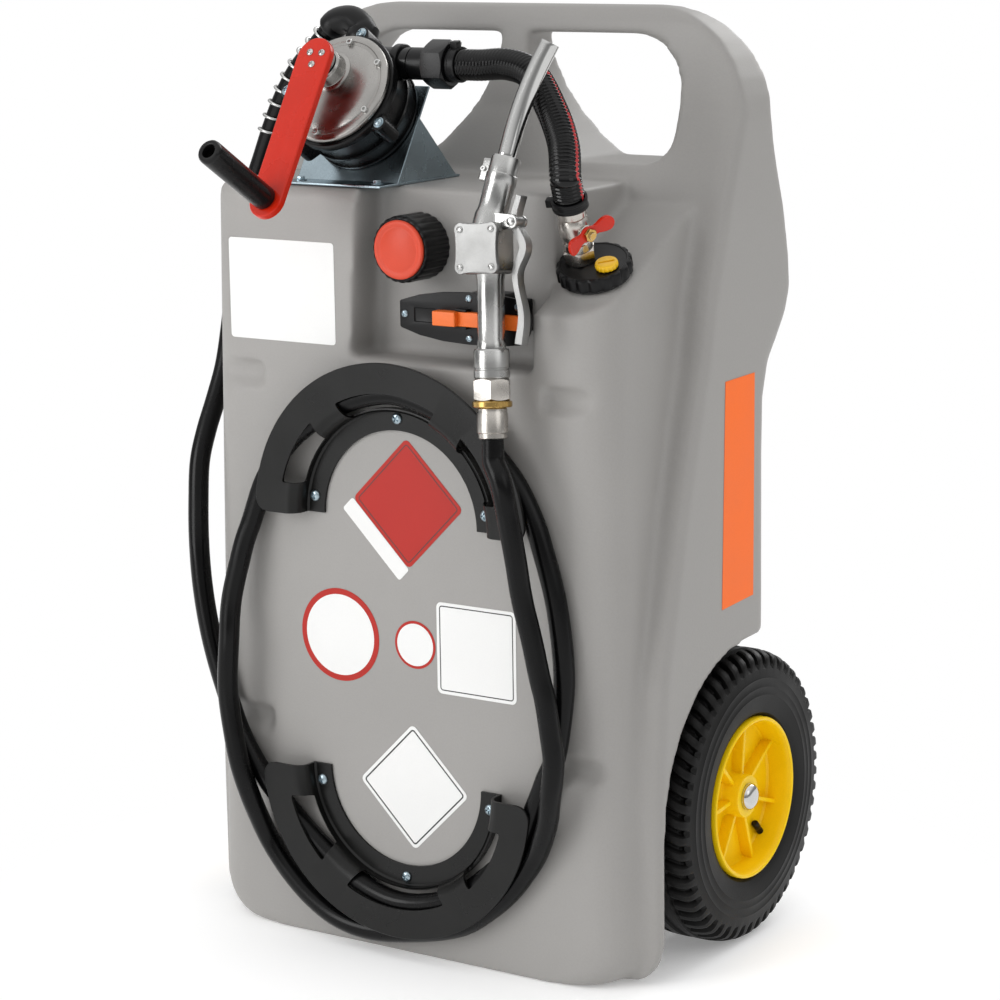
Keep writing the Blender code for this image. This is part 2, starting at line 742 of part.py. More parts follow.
def tank_block(inset):
    """The front body: rounded plans from foot to top, with the niche and the shoulder cut in."""
    bm = bmesh.new()
    rings = []
    for z, half, back in block_levels(inset):
        corner = BLOCK_FRONT_CORNER - inset - back
        front = inset + back + corner
        plan = [(half, BLOCK_DEPTH), (-half, BLOCK_DEPTH)]
        plan += arc((-half + corner, front), corner, 180, 270, 5)
        plan += arc((half - corner, front), corner, 270, 360, 5)
        rings.append([bm.verts.new((x, y, z)) for x, y in plan])
    for low, high in zip(rings, rings[1:]):
        for k in range(len(low)):
            after = (k + 1) % len(low)
            bm.faces.new((low[k], low[after], high[after], high[k]))
    bm.faces.new(list(reversed(rings[0])))
    bm.faces.new(rings[-1])
    bmesh.ops.recalc_face_normals(bm, faces=bm.faces)
    block = put("tank_block", bm, GREY_TANK)
    slope = [(-OVERRUN, shoulder_z(-OVERRUN)), (BLOCK_DEPTH + OVERRUN, shoulder_z(BLOCK_DEPTH + OVERRUN))]
    slope += [(-OVERRUN, shoulder_z(BLOCK_DEPTH + OVERRUN))]
    drop = inset / math.cos(SHOULDER_TILT)
    slope = [(y, z - drop) for y, z in slope]
    shoulder = prism("shoulder", slope, NICHE_RIGHT_X - inset, TANK_HALF_WIDTH, "X")
    niche_outline = [
        (NICHE_LEFT_X - inset, NICHE_FLOOR_Z - inset),
        (NICHE_RIGHT_X + inset, NICHE_FLOOR_Z - inset),
        (NICHE_RIGHT_X + inset, PLATFORM_Z + OVERRUN),
        (NICHE_LEFT_X + NICHE_SLANT - inset, PLATFORM_Z + OVERRUN),
    ]
    niche = prism("niche", niche_outline, -OVERRUN, NICHE_DEPTH + inset, "Y")
    return cut(block, shoulder, niche)


def tank_frame(inset):
    """The side frames, the rear body and the handle as one extruded side view with rounded edges."""
    outline = scaled(FRONT_EDGE_SHARES + REAR_EDGE_SHARES)
    if inset:
        outline = offset_outline(outline, inset)
    frame = prism("tank_frame", outline, -TANK_HALF_WIDTH + inset, TANK_HALF_WIDTH - inset, "X")
    if not inset:
        bevelled(frame, TANK_EDGE_ROUND, 2, math.radians(70))
    half = TANK_HALF_WIDTH - inset + GAP
    low = TANK_FOOT_CORNER
    high = TANK_TOP_CORNER
    front = arc((-half + low, low + inset), low, 180, 270, 5)
    front += arc((half - low, low + inset), low, 270, 360, 5)
    front += arc((half - high, TANK_HEIGHT - high + GAP), high, 0, 90, 8)
    front += arc((-half + high, TANK_HEIGHT - high + GAP), high, 90, 180, 8)
    overlap(frame, prism("frame_outline", front, -OVERRUN, TANK_DEPTH + OVERRUN, "Y"))
    return frame


def wheel_well(side, inset):
    """The space behind the front skirt that a wheel turns in, open to the side, rear and floor."""
    radius = WHEEL_RADIUS + WELL_CLEARANCE + inset
    outline = [(WHEEL_Y - radius, -OVERRUN)]
    outline += arc((WHEEL_Y, WHEEL_RADIUS), radius, 180, 90, 8)
    outline += [(TANK_DEPTH + OVERRUN, WHEEL_RADIUS + radius + WELL_CLEARANCE / 2)]
    outline += [(TANK_DEPTH + OVERRUN, -OVERRUN)]
    inner = WELL_WALL_X - inset
    outer = TANK_HALF_WIDTH + OVERRUN
    if side < 0:
        inner, outer = -outer, -inner
    return prism("wheel_well", outline, inner, outer, "X")


def handle_window(side):
    """One hand opening: round at its outer side, with the post's flare at its inner side."""
    outer = WINDOW_HALF_WIDTH
    top = WINDOW_TOP_Z
    floor = WINDOW_FLOOR_Z
    corner = WINDOW_CORNER
    low = WINDOW_FLOOR_CORNER
    points = arc((outer - low, floor + low), low, 270, 360, 3)
    points += arc((outer - corner, top - corner), corner, 0, 90, 6)
    steps = 6
    for step in range(steps + 1):
        share = step / steps
        width = POST_HALF_TOP + (POST_HALF_FOOT - POST_HALF_TOP) * share ** 2
        points.append((width, top + (floor - top) * share))
    points = [(x * side, z) for x, z in points]
    return prism("window", points, -OVERRUN, TANK_DEPTH + OVERRUN, "Y")


def groove(side, centre_z, inset):
    """A strap groove across the outer column, with a soft lower edge."""
    half = GROOVE_HEIGHT / 2 + inset
    depth = GROOVE_DEPTH + inset
    section = [
        (-OVERRUN, centre_z + half), (depth, centre_z + half),
        (depth, centre_z), (-OVERRUN, centre_z - half - OVERRUN),
    ]
    inner = GROOVE_INNER_X - inset
    outer = TANK_HALF_WIDTH + OVERRUN
    if side < 0:
        inner, outer = -outer, -inner
    return prism("groove", section, inner, outer, "X")


def tank_form(inset):
    """The whole outside when inset is zero, or the hollow when inset is the wall."""
    form = join(tank_block(inset), tank_frame(inset))
    for side in (-1, 1):
        cut(form, wheel_well(side, inset))
        for share in GROOVE_CENTRE_SHARES:
            cut(form, groove(side, TANK_HEIGHT * share, inset))
    return form


def pin_at(matrix, radius, start, end, steps=BOLT_STEPS):
    """A cutter pin along the Z axis of a matrix."""
    return turned(prism("pin", circle(radius, steps), start, end, "Z"), matrix)


def facing_front(x, y, z):
    """A matrix whose Z axis points to the front."""
    return Matrix.Translation((x, y, z)) @ Matrix.Rotation(math.radians(90), 4, "X")


def holder_screw_places(centre_z, upwards):
    """Three screw places on a holder: both ends and the middle."""
    lift = HOLDER_END_LIFT * 2.6 * upwards
    reach = math.sqrt(HOLDER_SCREW_RADIUS ** 2 - lift ** 2)
    return [
        (-reach, centre_z + lift),
        (0.0, centre_z + HOLDER_SCREW_RADIUS * upwards),
        (reach, centre_z + lift),
    ]


def all_holder_screws():
    return holder_screw_places(HOLDER_UPPER_Z, 1) + holder_screw_places(HOLDER_LOWER_Z, -1)


def valve_matrix():
    """The suction port's frame: its Z axis leans forward, about square on the shoulder."""
    place = Vector((FLANGE_X, FLANGE_Y, shoulder_z(FLANGE_Y) + PORT_SEAT_LIFT))
    lean = Matrix.Rotation(PORT_SIDE_LEAN, 4, "Y") @ Matrix.Rotation(PORT_LEAN, 4, "X")
    return Matrix.Translation(place) @ lean


def build_tank():
    """The moulded tank: a hollow shell with its fill neck, suction port, axle tunnel and hand openings."""
    tank = tank_form(0.0)
    cut(tank, handle_window(-1), handle_window(1))
    hollow = tank_form(TANK_WALL)
    lid = box("lid", (-TANK_HALF_WIDTH, TANK_HALF_WIDTH), (-OVERRUN, TANK_DEPTH + OVERRUN),
              (CAVITY_TOP_Z, TANK_HEIGHT + OVERRUN))
    across = Matrix.Translation((0, WHEEL_Y, WHEEL_RADIUS)) @ Matrix.Rotation(math.radians(90), 4, "Y")
    reach = TANK_HALF_WIDTH + OVERRUN
    tunnel = pin_at(across, AXLE_RADIUS + GAP + TANK_WALL, -reach, reach, SMALL_STEPS)
    cut(hollow, lid, tunnel)
    cut(tank, hollow)
    mouth = facing_front(CAP_X, NICHE_DEPTH, CAP_Z)
    neck = pin_at(mouth, NECK_RADIUS, -TANK_WALL / 2, NECK_LENGTH, ROUND_STEPS)
    join(tank, neck)
    cut(tank, pin_at(mouth, NECK_BORE, -TANK_WALL * 2, NECK_LENGTH + OVERRUN, ROUND_STEPS))
    port = valve_matrix()
    join(tank, pin_at(port, FLANGE_RADIUS, -PORT_SEAT_LIFT * 3, 0, ROUND_STEPS))
    cut(tank, pin_at(port, PORT_BORE_RADIUS, -TANK_WALL * 5, OVERRUN, SMALL_STEPS))
    cut(tank, pin_at(across, AXLE_RADIUS + GAP, -reach, reach, SMALL_STEPS))
    hole = SCREW_SHANK_RADIUS + GAP
    bite = SCREW_BITE + GAP
    for x, z in all_holder_screws():
        cut(tank, pin_at(facing_front(x, 0, z), hole, -bite, bite))
    tank.name = "tank"
    tank.data.name = "tank"
    return smooth(tank, math.radians(35))


# Fill cap

def build_fill_cap():
    """A ribbed screw cap over the neck, with a red disc in its face and a seal on the neck's rim."""
    hub = pose("fill_cap_axis", (CAP_X, NICHE_DEPTH - GAP, CAP_Z), (math.radians(90), 0, 0))
    rim = NECK_LENGTH + GAP
    seal_top = rim + CAP_SEAL_HEIGHT + GAP
    inner = NECK_RADIUS + GAP * 2
    lathe("fill_cap", [
        (0, seal_top), (inner, seal_top), (inner, GAP), (CAP_RADIUS, GAP),
        (CAP_RADIUS, CAP_LENGTH - CAP_RIB_DEPTH), (CAP_RADIUS - CAP_RIB_DEPTH, CAP_LENGTH), (0, CAP_LENGTH),
    ], BLACK_PLASTIC, hub, lobes=CAP_RIBS, lobe_depth=CAP_RIB_DEPTH, lobe_from=CAP_DISC_RADIUS)
    face = CAP_LENGTH + GAP
    lathe("fill_cap_disc", [
        (0, face), (CAP_DISC_RADIUS, face), (CAP_DISC_RADIUS, face + CAP_DISC_HEIGHT / 2),
        (CAP_DISC_RADIUS - CAP_DISC_HEIGHT / 2, face + CAP_DISC_HEIGHT), (0, face + CAP_DISC_HEIGHT),
    ], RED_PLASTIC, hub)
    rod("fill_cap_seal", NECK_RADIUS, rim, rim + CAP_SEAL_HEIGHT, SEAL_RUBBER, hub, SMALL_STEPS, NECK_BORE)


# Hose holders

def holder_depth():
    """How far the outer flange stands off the panel: the hose lies behind it."""
    return HOSE_RADIUS * 2 + GAP * 5


def build_holder(name, centre_z, upwards):
    """A half ring with an inner flange on the panel, a wall, and a slotted outer flange."""
    inner = -GAP
    wall = HOLDER_WALL_RADIUS
    lip = -holder_depth()
    face = lip - HOLDER_SHEET
    bm = bmesh.new()
    rings = []
    chamfer = HOLDER_CHAMFER
    sheet = HOLDER_SHEET
    section = [
        (HOLDER_INNER_RADIUS, inner), (wall, inner), (wall, lip + chamfer), (wall + chamfer, lip),
        (HOLDER_RADIUS, lip), (HOLDER_RADIUS, face), (wall + chamfer - sheet / 2, face),
        (wall - sheet, lip + chamfer - sheet / 2), (wall - sheet, inner - sheet),
        (HOLDER_INNER_RADIUS, inner - sheet),
    ]
    for step in range(HOLDER_STEPS + 1):
        turn = math.pi * step / HOLDER_STEPS
        across = math.cos(turn)
        up = math.sin(turn) * upwards
        rings.append([bm.verts.new((r * across, y, centre_z + r * up)) for r, y in section])
    corners = range(len(rings[0]))
    for low, high in zip(rings, rings[1:]):
        for k in corners:
            after = (k + 1) % len(rings[0])
            bm.faces.new((low[k], low[after], high[after], high[k]))
    bm.faces.new(rings[0])
    bm.faces.new(list(reversed(rings[-1])))
    holder = put(name, bm, BLACK_PLASTIC)
    near = wall - sheet - GAP
    far = HOLDER_SLOT_RADIUS
    for start, end in HOLDER_SLOTS:
        points = arc((0, 0), near, start + HOLDER_SLOT_TAPER, end - HOLDER_SLOT_TAPER, 4)
        points += arc((0, 0), far, end, start, 4)
        points = [(x, centre_z + z * upwards) for x, z in points]
        cut(holder, prism("slot", points, face - OVERRUN, -HOLDER_SLOT_DEPTH, "Y"))
    places = holder_screw_places(centre_z, upwards)
    for x, z in places:
        cut(holder, pin_at(facing_front(x, 0, z), SCREW_SHANK_RADIUS + GAP, -OVERRUN, OVERRUN))
    return smooth(holder, math.radians(35))


def build_holder_screws(name, centre_z, upwards):
    """Three pan head screws that hold one holder on the panel."""
    standoff = HOLDER_SHEET + GAP * 2
    order = ("left", "middle", "right")
    for place, (x, z) in zip(order, holder_screw_places(centre_z, upwards)):
        bite = standoff + SCREW_BITE
        one = screw(SCREW_HEAD_RADIUS, SCREW_HEAD_HEIGHT, SCREW_SHANK_RADIUS, bite, STEEL)
        one.name = f"holder_screw_{name}_{place}"
        one.data.transform(Matrix.Translation((0, 0, standoff)))
        one.matrix_world = facing_front(x, 0, z)


# Hand pump

def pump_rotation():
    return (math.radians(90) - PUMP_TILT, 0, 0)


def crank_centre():
    """The crank's axis in the pump's own frame."""
    return (CRANK_SIDE, CRANK_RISE)


def build_pump():
    """A rotary vane pump: housing, cover, shaft with rotor and vanes, crank arm and turning grip."""
    frame = pose("pump_frame", PUMP_CENTRE, pump_rotation())
    axis_x, axis_y = crank_centre()

    housing = prism("pump_housing", circle(PUMP_RADIUS, ROUND_STEPS), -PUMP_BODY_LENGTH, 0, "Z", BLACK_PLASTIC, frame)
    bevelled(housing, PUMP_WALL / 4, 1)
    inlet = Matrix.Translation((0, PORT_HEIGHT, -PORT_DEPTH)) @ Matrix.Rotation(math.radians(90), 4, "Y")
    outlet = Matrix.Translation((OUTLET_SIDE, 0, -PORT_DEPTH)) @ Matrix.Rotation(math.radians(-90), 4, "X")
    join(housing, pin_at(inlet, PORT_RADIUS, 0, INLET_REACH, SMALL_STEPS))
    join(housing, pin_at(outlet, PORT_RADIUS, 0, OUTLET_REACH, SMALL_STEPS))
    cut(housing, prism("bore", circle(PUMP_BORE_RADIUS, ROUND_STEPS), -PUMP_BORE_DEPTH, OVERRUN, "Z"))
    cut(housing, pin_at(inlet, PORT_BORE, SHAFT_RADIUS, INLET_REACH + OVERRUN, SMALL_STEPS))
    cut(housing, pin_at(outlet, PORT_BORE, PORT_HEIGHT / 2, OUTLET_REACH + OVERRUN, SMALL_STEPS))
    shaft_at = Matrix.Translation((axis_x, axis_y, 0))
    seat = -PUMP_BORE_DEPTH - BEARING_DEPTH
    cut(housing, pin_at(shaft_at, SHAFT_RADIUS + GAP, seat, -PUMP_BORE_DEPTH + OVERRUN, SMALL_STEPS))
    smooth(housing, math.radians(35))

    cover = prism("pump_cover", circle(COVER_RADIUS, ROUND_STEPS), GAP, COVER_HEIGHT, "Z", CHROME, frame)
    bevelled(cover, COVER_HEIGHT / 3, 1)
    collar_top = COVER_HEIGHT + HUB_COLLAR_HEIGHT
    join(cover, pin_at(shaft_at, HUB_COLLAR_RADIUS, COVER_HEIGHT / 2, collar_top, SMALL_STEPS))
    cut(cover, pin_at(shaft_at, SHAFT_RADIUS + GAP, -OVERRUN, collar_top + OVERRUN, SMALL_STEPS))
    smooth(cover, math.radians(35))

    crank = pose("crank_axis", (axis_x, axis_y, 0))
    crank.parent = frame
    bottom = seat + GAP
    top = ARM_BACK - GAP
    lathe("pump_shaft", [
        (0, bottom), (SHAFT_RADIUS, bottom), (SHAFT_RADIUS, top - SHAFT_FLANGE_HEIGHT),
        (SHAFT_FLANGE_RADIUS, top - SHAFT_FLANGE_HEIGHT), (SHAFT_FLANGE_RADIUS, top), (0, top),
    ], STEEL, crank, SMALL_STEPS)
    rotor_low = -PUMP_BORE_DEPTH + GAP
    rotor = prism("pump_rotor", circle(ROTOR_RADIUS, SMALL_STEPS), rotor_low, -GAP, "Z", STEEL, crank)
    cut(rotor, pin_at(Matrix.Identity(4), SHAFT_RADIUS + GAP, rotor_low - OVERRUN, OVERRUN, SMALL_STEPS))
    half = VANE_THICKNESS / 2
    slot_start = SHAFT_RADIUS + VANE_THICKNESS
    for k in range(VANES):
        turn = Matrix.Rotation(math.tau * (k + 0.5) / VANES, 4, "Z")
        slot = box("slot", (slot_start, ROTOR_RADIUS + OVERRUN), (-half - GAP, half + GAP),
                   (rotor_low - OVERRUN, OVERRUN))
        cut(rotor, turned(slot, turn))
        vane = box(f"pump_vane_{k + 1}", (slot_start + GAP, ROTOR_RADIUS), (-half, half), (rotor_low, -GAP),
                   BLACK_PLASTIC)
        turned(vane, turn)
        vane.parent = crank
    smooth(rotor, math.radians(35))

    arm_front = ARM_BACK + CRANK_THICKNESS
    outline = arc((0, 0), CRANK_HALF_WIDTH, 0, 180, 10)
    outline += arc((0, -CRANK_LENGTH), CRANK_END_HALF_WIDTH, 180, 360, 10)
    arm = prism("crank_arm", outline, ARM_BACK, arm_front, "Z", RED_PAINT, crank)
    bevelled(arm, CRANK_THICKNESS / 6, 1)
    cut(arm, pin_at(Matrix.Translation((0, -CRANK_LENGTH, 0)), CRANK_PIN_RADIUS + GAP,
                    ARM_BACK - OVERRUN, arm_front + OVERRUN, SMALL_STEPS))
    smooth(arm, math.radians(35))
    grip_start = arm_front + GAP * 2
    grip_end = grip_start + GRIP_LENGTH
    head = CRANK_PIN_HEAD_HEIGHT
    grip_axis = pose("grip_axis", (0, -CRANK_LENGTH, 0))
    grip_axis.parent = crank
    lathe("crank_pin", [
        (0, ARM_BACK - GAP - head), (CRANK_PIN_HEAD, ARM_BACK - GAP - head), (CRANK_PIN_HEAD, ARM_BACK - GAP),
        (CRANK_PIN_RADIUS, ARM_BACK - GAP), (CRANK_PIN_RADIUS, grip_end + GAP), (CRANK_PIN_HEAD, grip_end + GAP),
        (CRANK_PIN_HEAD, grip_end + head), (0, grip_end + head),
    ], STEEL, grip_axis, SMALL_STEPS)
    edge = GRIP_RADIUS / 5
    lathe("crank_grip", [
        (GRIP_BORE, grip_start), (GRIP_RADIUS - edge, grip_start), (GRIP_RADIUS, grip_start + edge),
        (GRIP_RADIUS, grip_end - edge), (GRIP_RADIUS - edge, grip_end), (GRIP_BORE, grip_end),
    ], BLACK_PLASTIC, grip_axis, SMALL_STEPS)


def build_bracket():
    """A folded zinc plate on the platform: a base, and a rising back plate that the housing bolts to."""
    half = BRACKET_HALF_WIDTH
    x = PUMP_CENTRE[0]
    floor = PLATFORM_Z + GAP
    top = floor + BRACKET_SHEET
    base = box("pump_bracket", (x - half, x + half), (BRACKET_FRONT_Y, BRACKET_REAR_Y), (floor, top), ZINC)
    frame = Matrix.Translation(PUMP_CENTRE) @ Matrix.Rotation(pump_rotation()[0], 4, "X")
    plate = box("plate", (-half, half), (-PUMP_RADIUS * 1.5, PUMP_RADIUS * 0.6),
                (-PUMP_BODY_LENGTH - GAP - BRACKET_SHEET, -PUMP_BODY_LENGTH - GAP))
    turned(plate, frame)
    keep = box("keep", (x - half - OVERRUN, x + half + OVERRUN), (BRACKET_FRONT_Y, BRACKET_REAR_Y + OVERRUN * 3),
               (floor, TANK_HEIGHT + OVERRUN * 3))
    overlap(plate, keep)
    join(base, plate)
    lean = math.tan(PUMP_TILT)
    foot_y = PUMP_CENTRE[1] + PUMP_BODY_LENGTH * math.cos(PUMP_TILT)
    drop = PUMP_CENTRE[2] - PUMP_BODY_LENGTH * math.sin(PUMP_TILT) - floor
    seat_y = foot_y - drop * lean
    middle = BRACKET_SHEET / 2
    side = [
        (seat_y + BRACKET_SHEET, floor + middle), (BRACKET_REAR_Y - BRACKET_SHEET, floor + middle),
        (foot_y + BRACKET_SHEET * 3, floor + drop), (foot_y + BRACKET_SHEET, floor + drop),
    ]
    for left in (x - half + BRACKET_SHEET, x + half - BRACKET_SHEET * 2):
        join(base, prism("gusset", side, left, left + BRACKET_SHEET, "X", ZINC))


# Hoses

def outlet_end():
    """Where the pump's outlet ends, and the way it points."""
    frame = Matrix.Translation(PUMP_CENTRE) @ Matrix.Rotation(pump_rotation()[0], 4, "X")
    place = frame @ Vector((OUTLET_SIDE, OUTLET_REACH, -PORT_DEPTH))
    return place, (frame.to_3x3() @ Vector((0, 1, 0))).normalized()


def elbow_points():
    """The bend from the pump's outlet over to the left and down."""
    place, way = outlet_end()
    r = ELBOW_RADIUS
    knots = [
        place + way * GAP, place + way * r,
        place + way * r * 1.6 + Vector((-r * 0.9, 0, r * 0.3)),
        place + way * r * 1.75 + Vector((-r * 2.1, 0, r * 0.2)),
        place + way * r * 1.75 + Vector((-r * 2.9, r * 0.1, r * 0.05)),
        place + way * r * 1.75 + Vector((-r * 3.5, r * 0.15, -r * 0.5)),
    ]
    return straight_ended(knots, r * 0.8)


def delivery_route():
    """The delivery hose from the elbow, twice round both holders, to the nozzle's ferrule."""
    bend = elbow_points()
    way = (bend[-1] - bend[-2]).normalized()
    one = HOSE_LAYER_ONE_Y
    start = bend[-1] + way * GAP
    foot = nozzle_matrix()
    end = foot @ Vector((0, 0, -GAP))
    before = foot @ Vector((0, 0, -HOSE_RADIUS * 2))
    return [
        start, start + way * HOSE_RADIUS * 2,
        (-0.1996, 0.108, 0.949), (-0.2228, 0.11, 0.9175), (-0.241, 0.111, 0.8835), (-0.2559, 0.111, 0.8492),
        (-0.2721, 0.111, 0.8118), (-0.2849, 0.11, 0.772), (-0.2921, 0.104, 0.7238), (-0.2936, 0.093, 0.6661),
        (-0.2907, 0.075, 0.6176), (-0.2923, 0.058, 0.5801), (-0.2938, 0.042, 0.5483), (-0.2932, 0.028, 0.5165),
        (-0.2868, 0.015, 0.4738),
        (-0.2783, 0.003, 0.4313), (-0.2703, -0.004, 0.3879), (-0.2596, -0.009, 0.3444),
        (-0.2477, one, 0.3064), (-0.2325, one, 0.2624), (-0.2171, one, 0.2242), (-0.196, one, 0.1903),
        (-0.1705, one, 0.1619), (-0.1168, one, 0.1151), (-0.0579, one, 0.0755), (0, one, 0.0612),
        (0.0695, one, 0.0790), (0.1095, one, 0.1080), (0.1480, one, 0.1468), (0.1765, one, 0.2052),
        (0.1861, one, 0.2285), (0.1969, one, 0.2517), (0.204, one, 0.2851), (0.2094, one, 0.3286),
        (0.2096, one, 0.3499), (0.2069, one, 0.3814), (0.2002, one, 0.4228), (0.1885, one, 0.4636),
        (0.1739, one, 0.504), (0.1501, one, 0.5435), (0.1134, one, 0.5785), (0.07, one, 0.603),
        (0, one, 0.6208), (-0.07, one, 0.603), (-0.1134, one, 0.5771), (-0.145, one, 0.5496),
        (-0.1714, one, 0.5124), (-0.1877, -0.016, 0.4671), (-0.1951, -0.02, 0.4447), (-0.1998, -0.024, 0.4226),
        (-0.2086, -0.03, 0.3778), (-0.2092, -0.036, 0.3338), (-0.2121, -0.037, 0.2768), (-0.2042, -0.0375, 0.2209),
        (-0.2, -0.0368, 0.1984), (-0.1946, -0.0345, 0.1758), (-0.1896, -0.029, 0.1521), (-0.1852, -0.0205, 0.1277),
        (-0.1785, -0.014, 0.1055),
        (-0.1642, one, 0.084), (-0.1447, one, 0.064), (-0.1205, one, 0.045), (-0.0881, one, 0.0288),
        (-0.0475, one, 0.0223), (0.0087, one, 0.0292), (0.0772, one, 0.0486), (0.1136, one, 0.0732),
        (0.1406, one, 0.0981), (0.1586, one, 0.1211), (0.1737, -0.0135, 0.1429), (0.1861, -0.019, 0.1652),
        (0.1971, -0.026, 0.1906), (0.2042, -0.033, 0.2153), (0.2098, -0.0365, 0.2386), (0.2116, -0.037, 0.2604),
        (0.2091, -0.0375, 0.2815), (0.2033, -0.039, 0.3236), (0.1982, -0.04, 0.3443), (0.1904, -0.043, 0.3862),
        (0.182, -0.047, 0.428), (0.1773, -0.051, 0.4701), (0.1712, -0.0545, 0.5117), (0.1638, -0.057, 0.5527),
        before, end,
    ]


def build_delivery():
    """Outlet elbow, delivery hose and the spring guard round the hose's first stretch."""
    bend = elbow_points()
    sweep("outlet_elbow", bend, [ELBOW_RADIUS] * len(bend), ELBOW_BORE, BLACK_PLASTIC, 8)
    points = straight_ended(delivery_route(), HOSE_SPACING)
    tube_curve("delivery_hose", points, HOSE_RADIUS, 2, BLACK_RUBBER)
    print("delivery hose length", round(path_length(points), 3), "points", len(points))
    print("delivery hose least gap to itself", round(least_gap(smooth_path(delivery_route(), HOSE_RADIUS),
                                                             HOSE_RADIUS, 6), 5))
    count = SPRING_TURNS * SPRING_POINTS
    step = SPRING_LENGTH / count
    first = round(SPRING_START / step)
    fine = along(points, step, first + count + 2)
    frames = frames_along(fine)
    reach = HOSE_RADIUS + SPRING_GAP + SPRING_WIRE / 2
    coil = []
    for k in range(count + 1):
        turn = math.tau * k / SPRING_POINTS
        side, up = frames[first + k]
        coil.append(fine[first + k] + (side * math.cos(turn) + up * math.sin(turn)) * reach)
    before = coil[0] + (coil[0] - coil[1]).normalized() * SPRING_WIRE
    after = coil[-1] + (coil[-1] - coil[-2]).normalized() * SPRING_WIRE
    coil = [before, *coil, after]
    tube_curve("spring_guard", coil, SPRING_WIRE / 2, 1, STEEL)
    print("spring guard least gap to itself", round(least_gap(coil, SPRING_WIRE / 2, 4), 5))


def inlet_end():
    frame = Matrix.Translation(PUMP_CENTRE) @ Matrix.Rotation(pump_rotation()[0], 4, "X")
    return frame @ Vector((INLET_REACH, PORT_HEIGHT, -PORT_DEPTH))


def union_start():
    return UNION_FLAT_HALF


def barb_radius():
    """A hose tail that clears the flats of the hose's eight-sided bore."""
    return SUCTION_BORE * math.cos(math.pi / 8) - GAP


def valve_levels():
    """Heights above the port's seat: flange, hex adapter, valve, and the valve's top."""
    flange = GASKET_HEIGHT + GAP * 2
    adapter = flange + FLANGE_HEIGHT + GAP
    valve = adapter + VALVE_HEX_HEIGHT + GAP
    return flange, adapter, valve, valve + VALVE_HEIGHT


def suction_route():
    """The suction hose from the union nut, over the niche and down onto the ball valve."""
    inlet = inlet_end()
    start = inlet + Vector((union_start() + UNION_LENGTH + GAP * 2, 0, 0))
    port = valve_matrix()
    top = valve_levels()[3]
    tail = SUCTION_RADIUS * 2
    end = port @ Vector((VALVE_OFFSET_X, 0, top + GAP))
    before = port @ Vector((VALVE_OFFSET_X, 0, top + tail))
    leave = start + Vector((tail, 0, 0))
    between = before - leave
    middle = [leave + Vector([way * share for way, share in zip(between, shares)]) for shares in SUCTION_SHARES]
    return [start, leave, *middle, before, end]


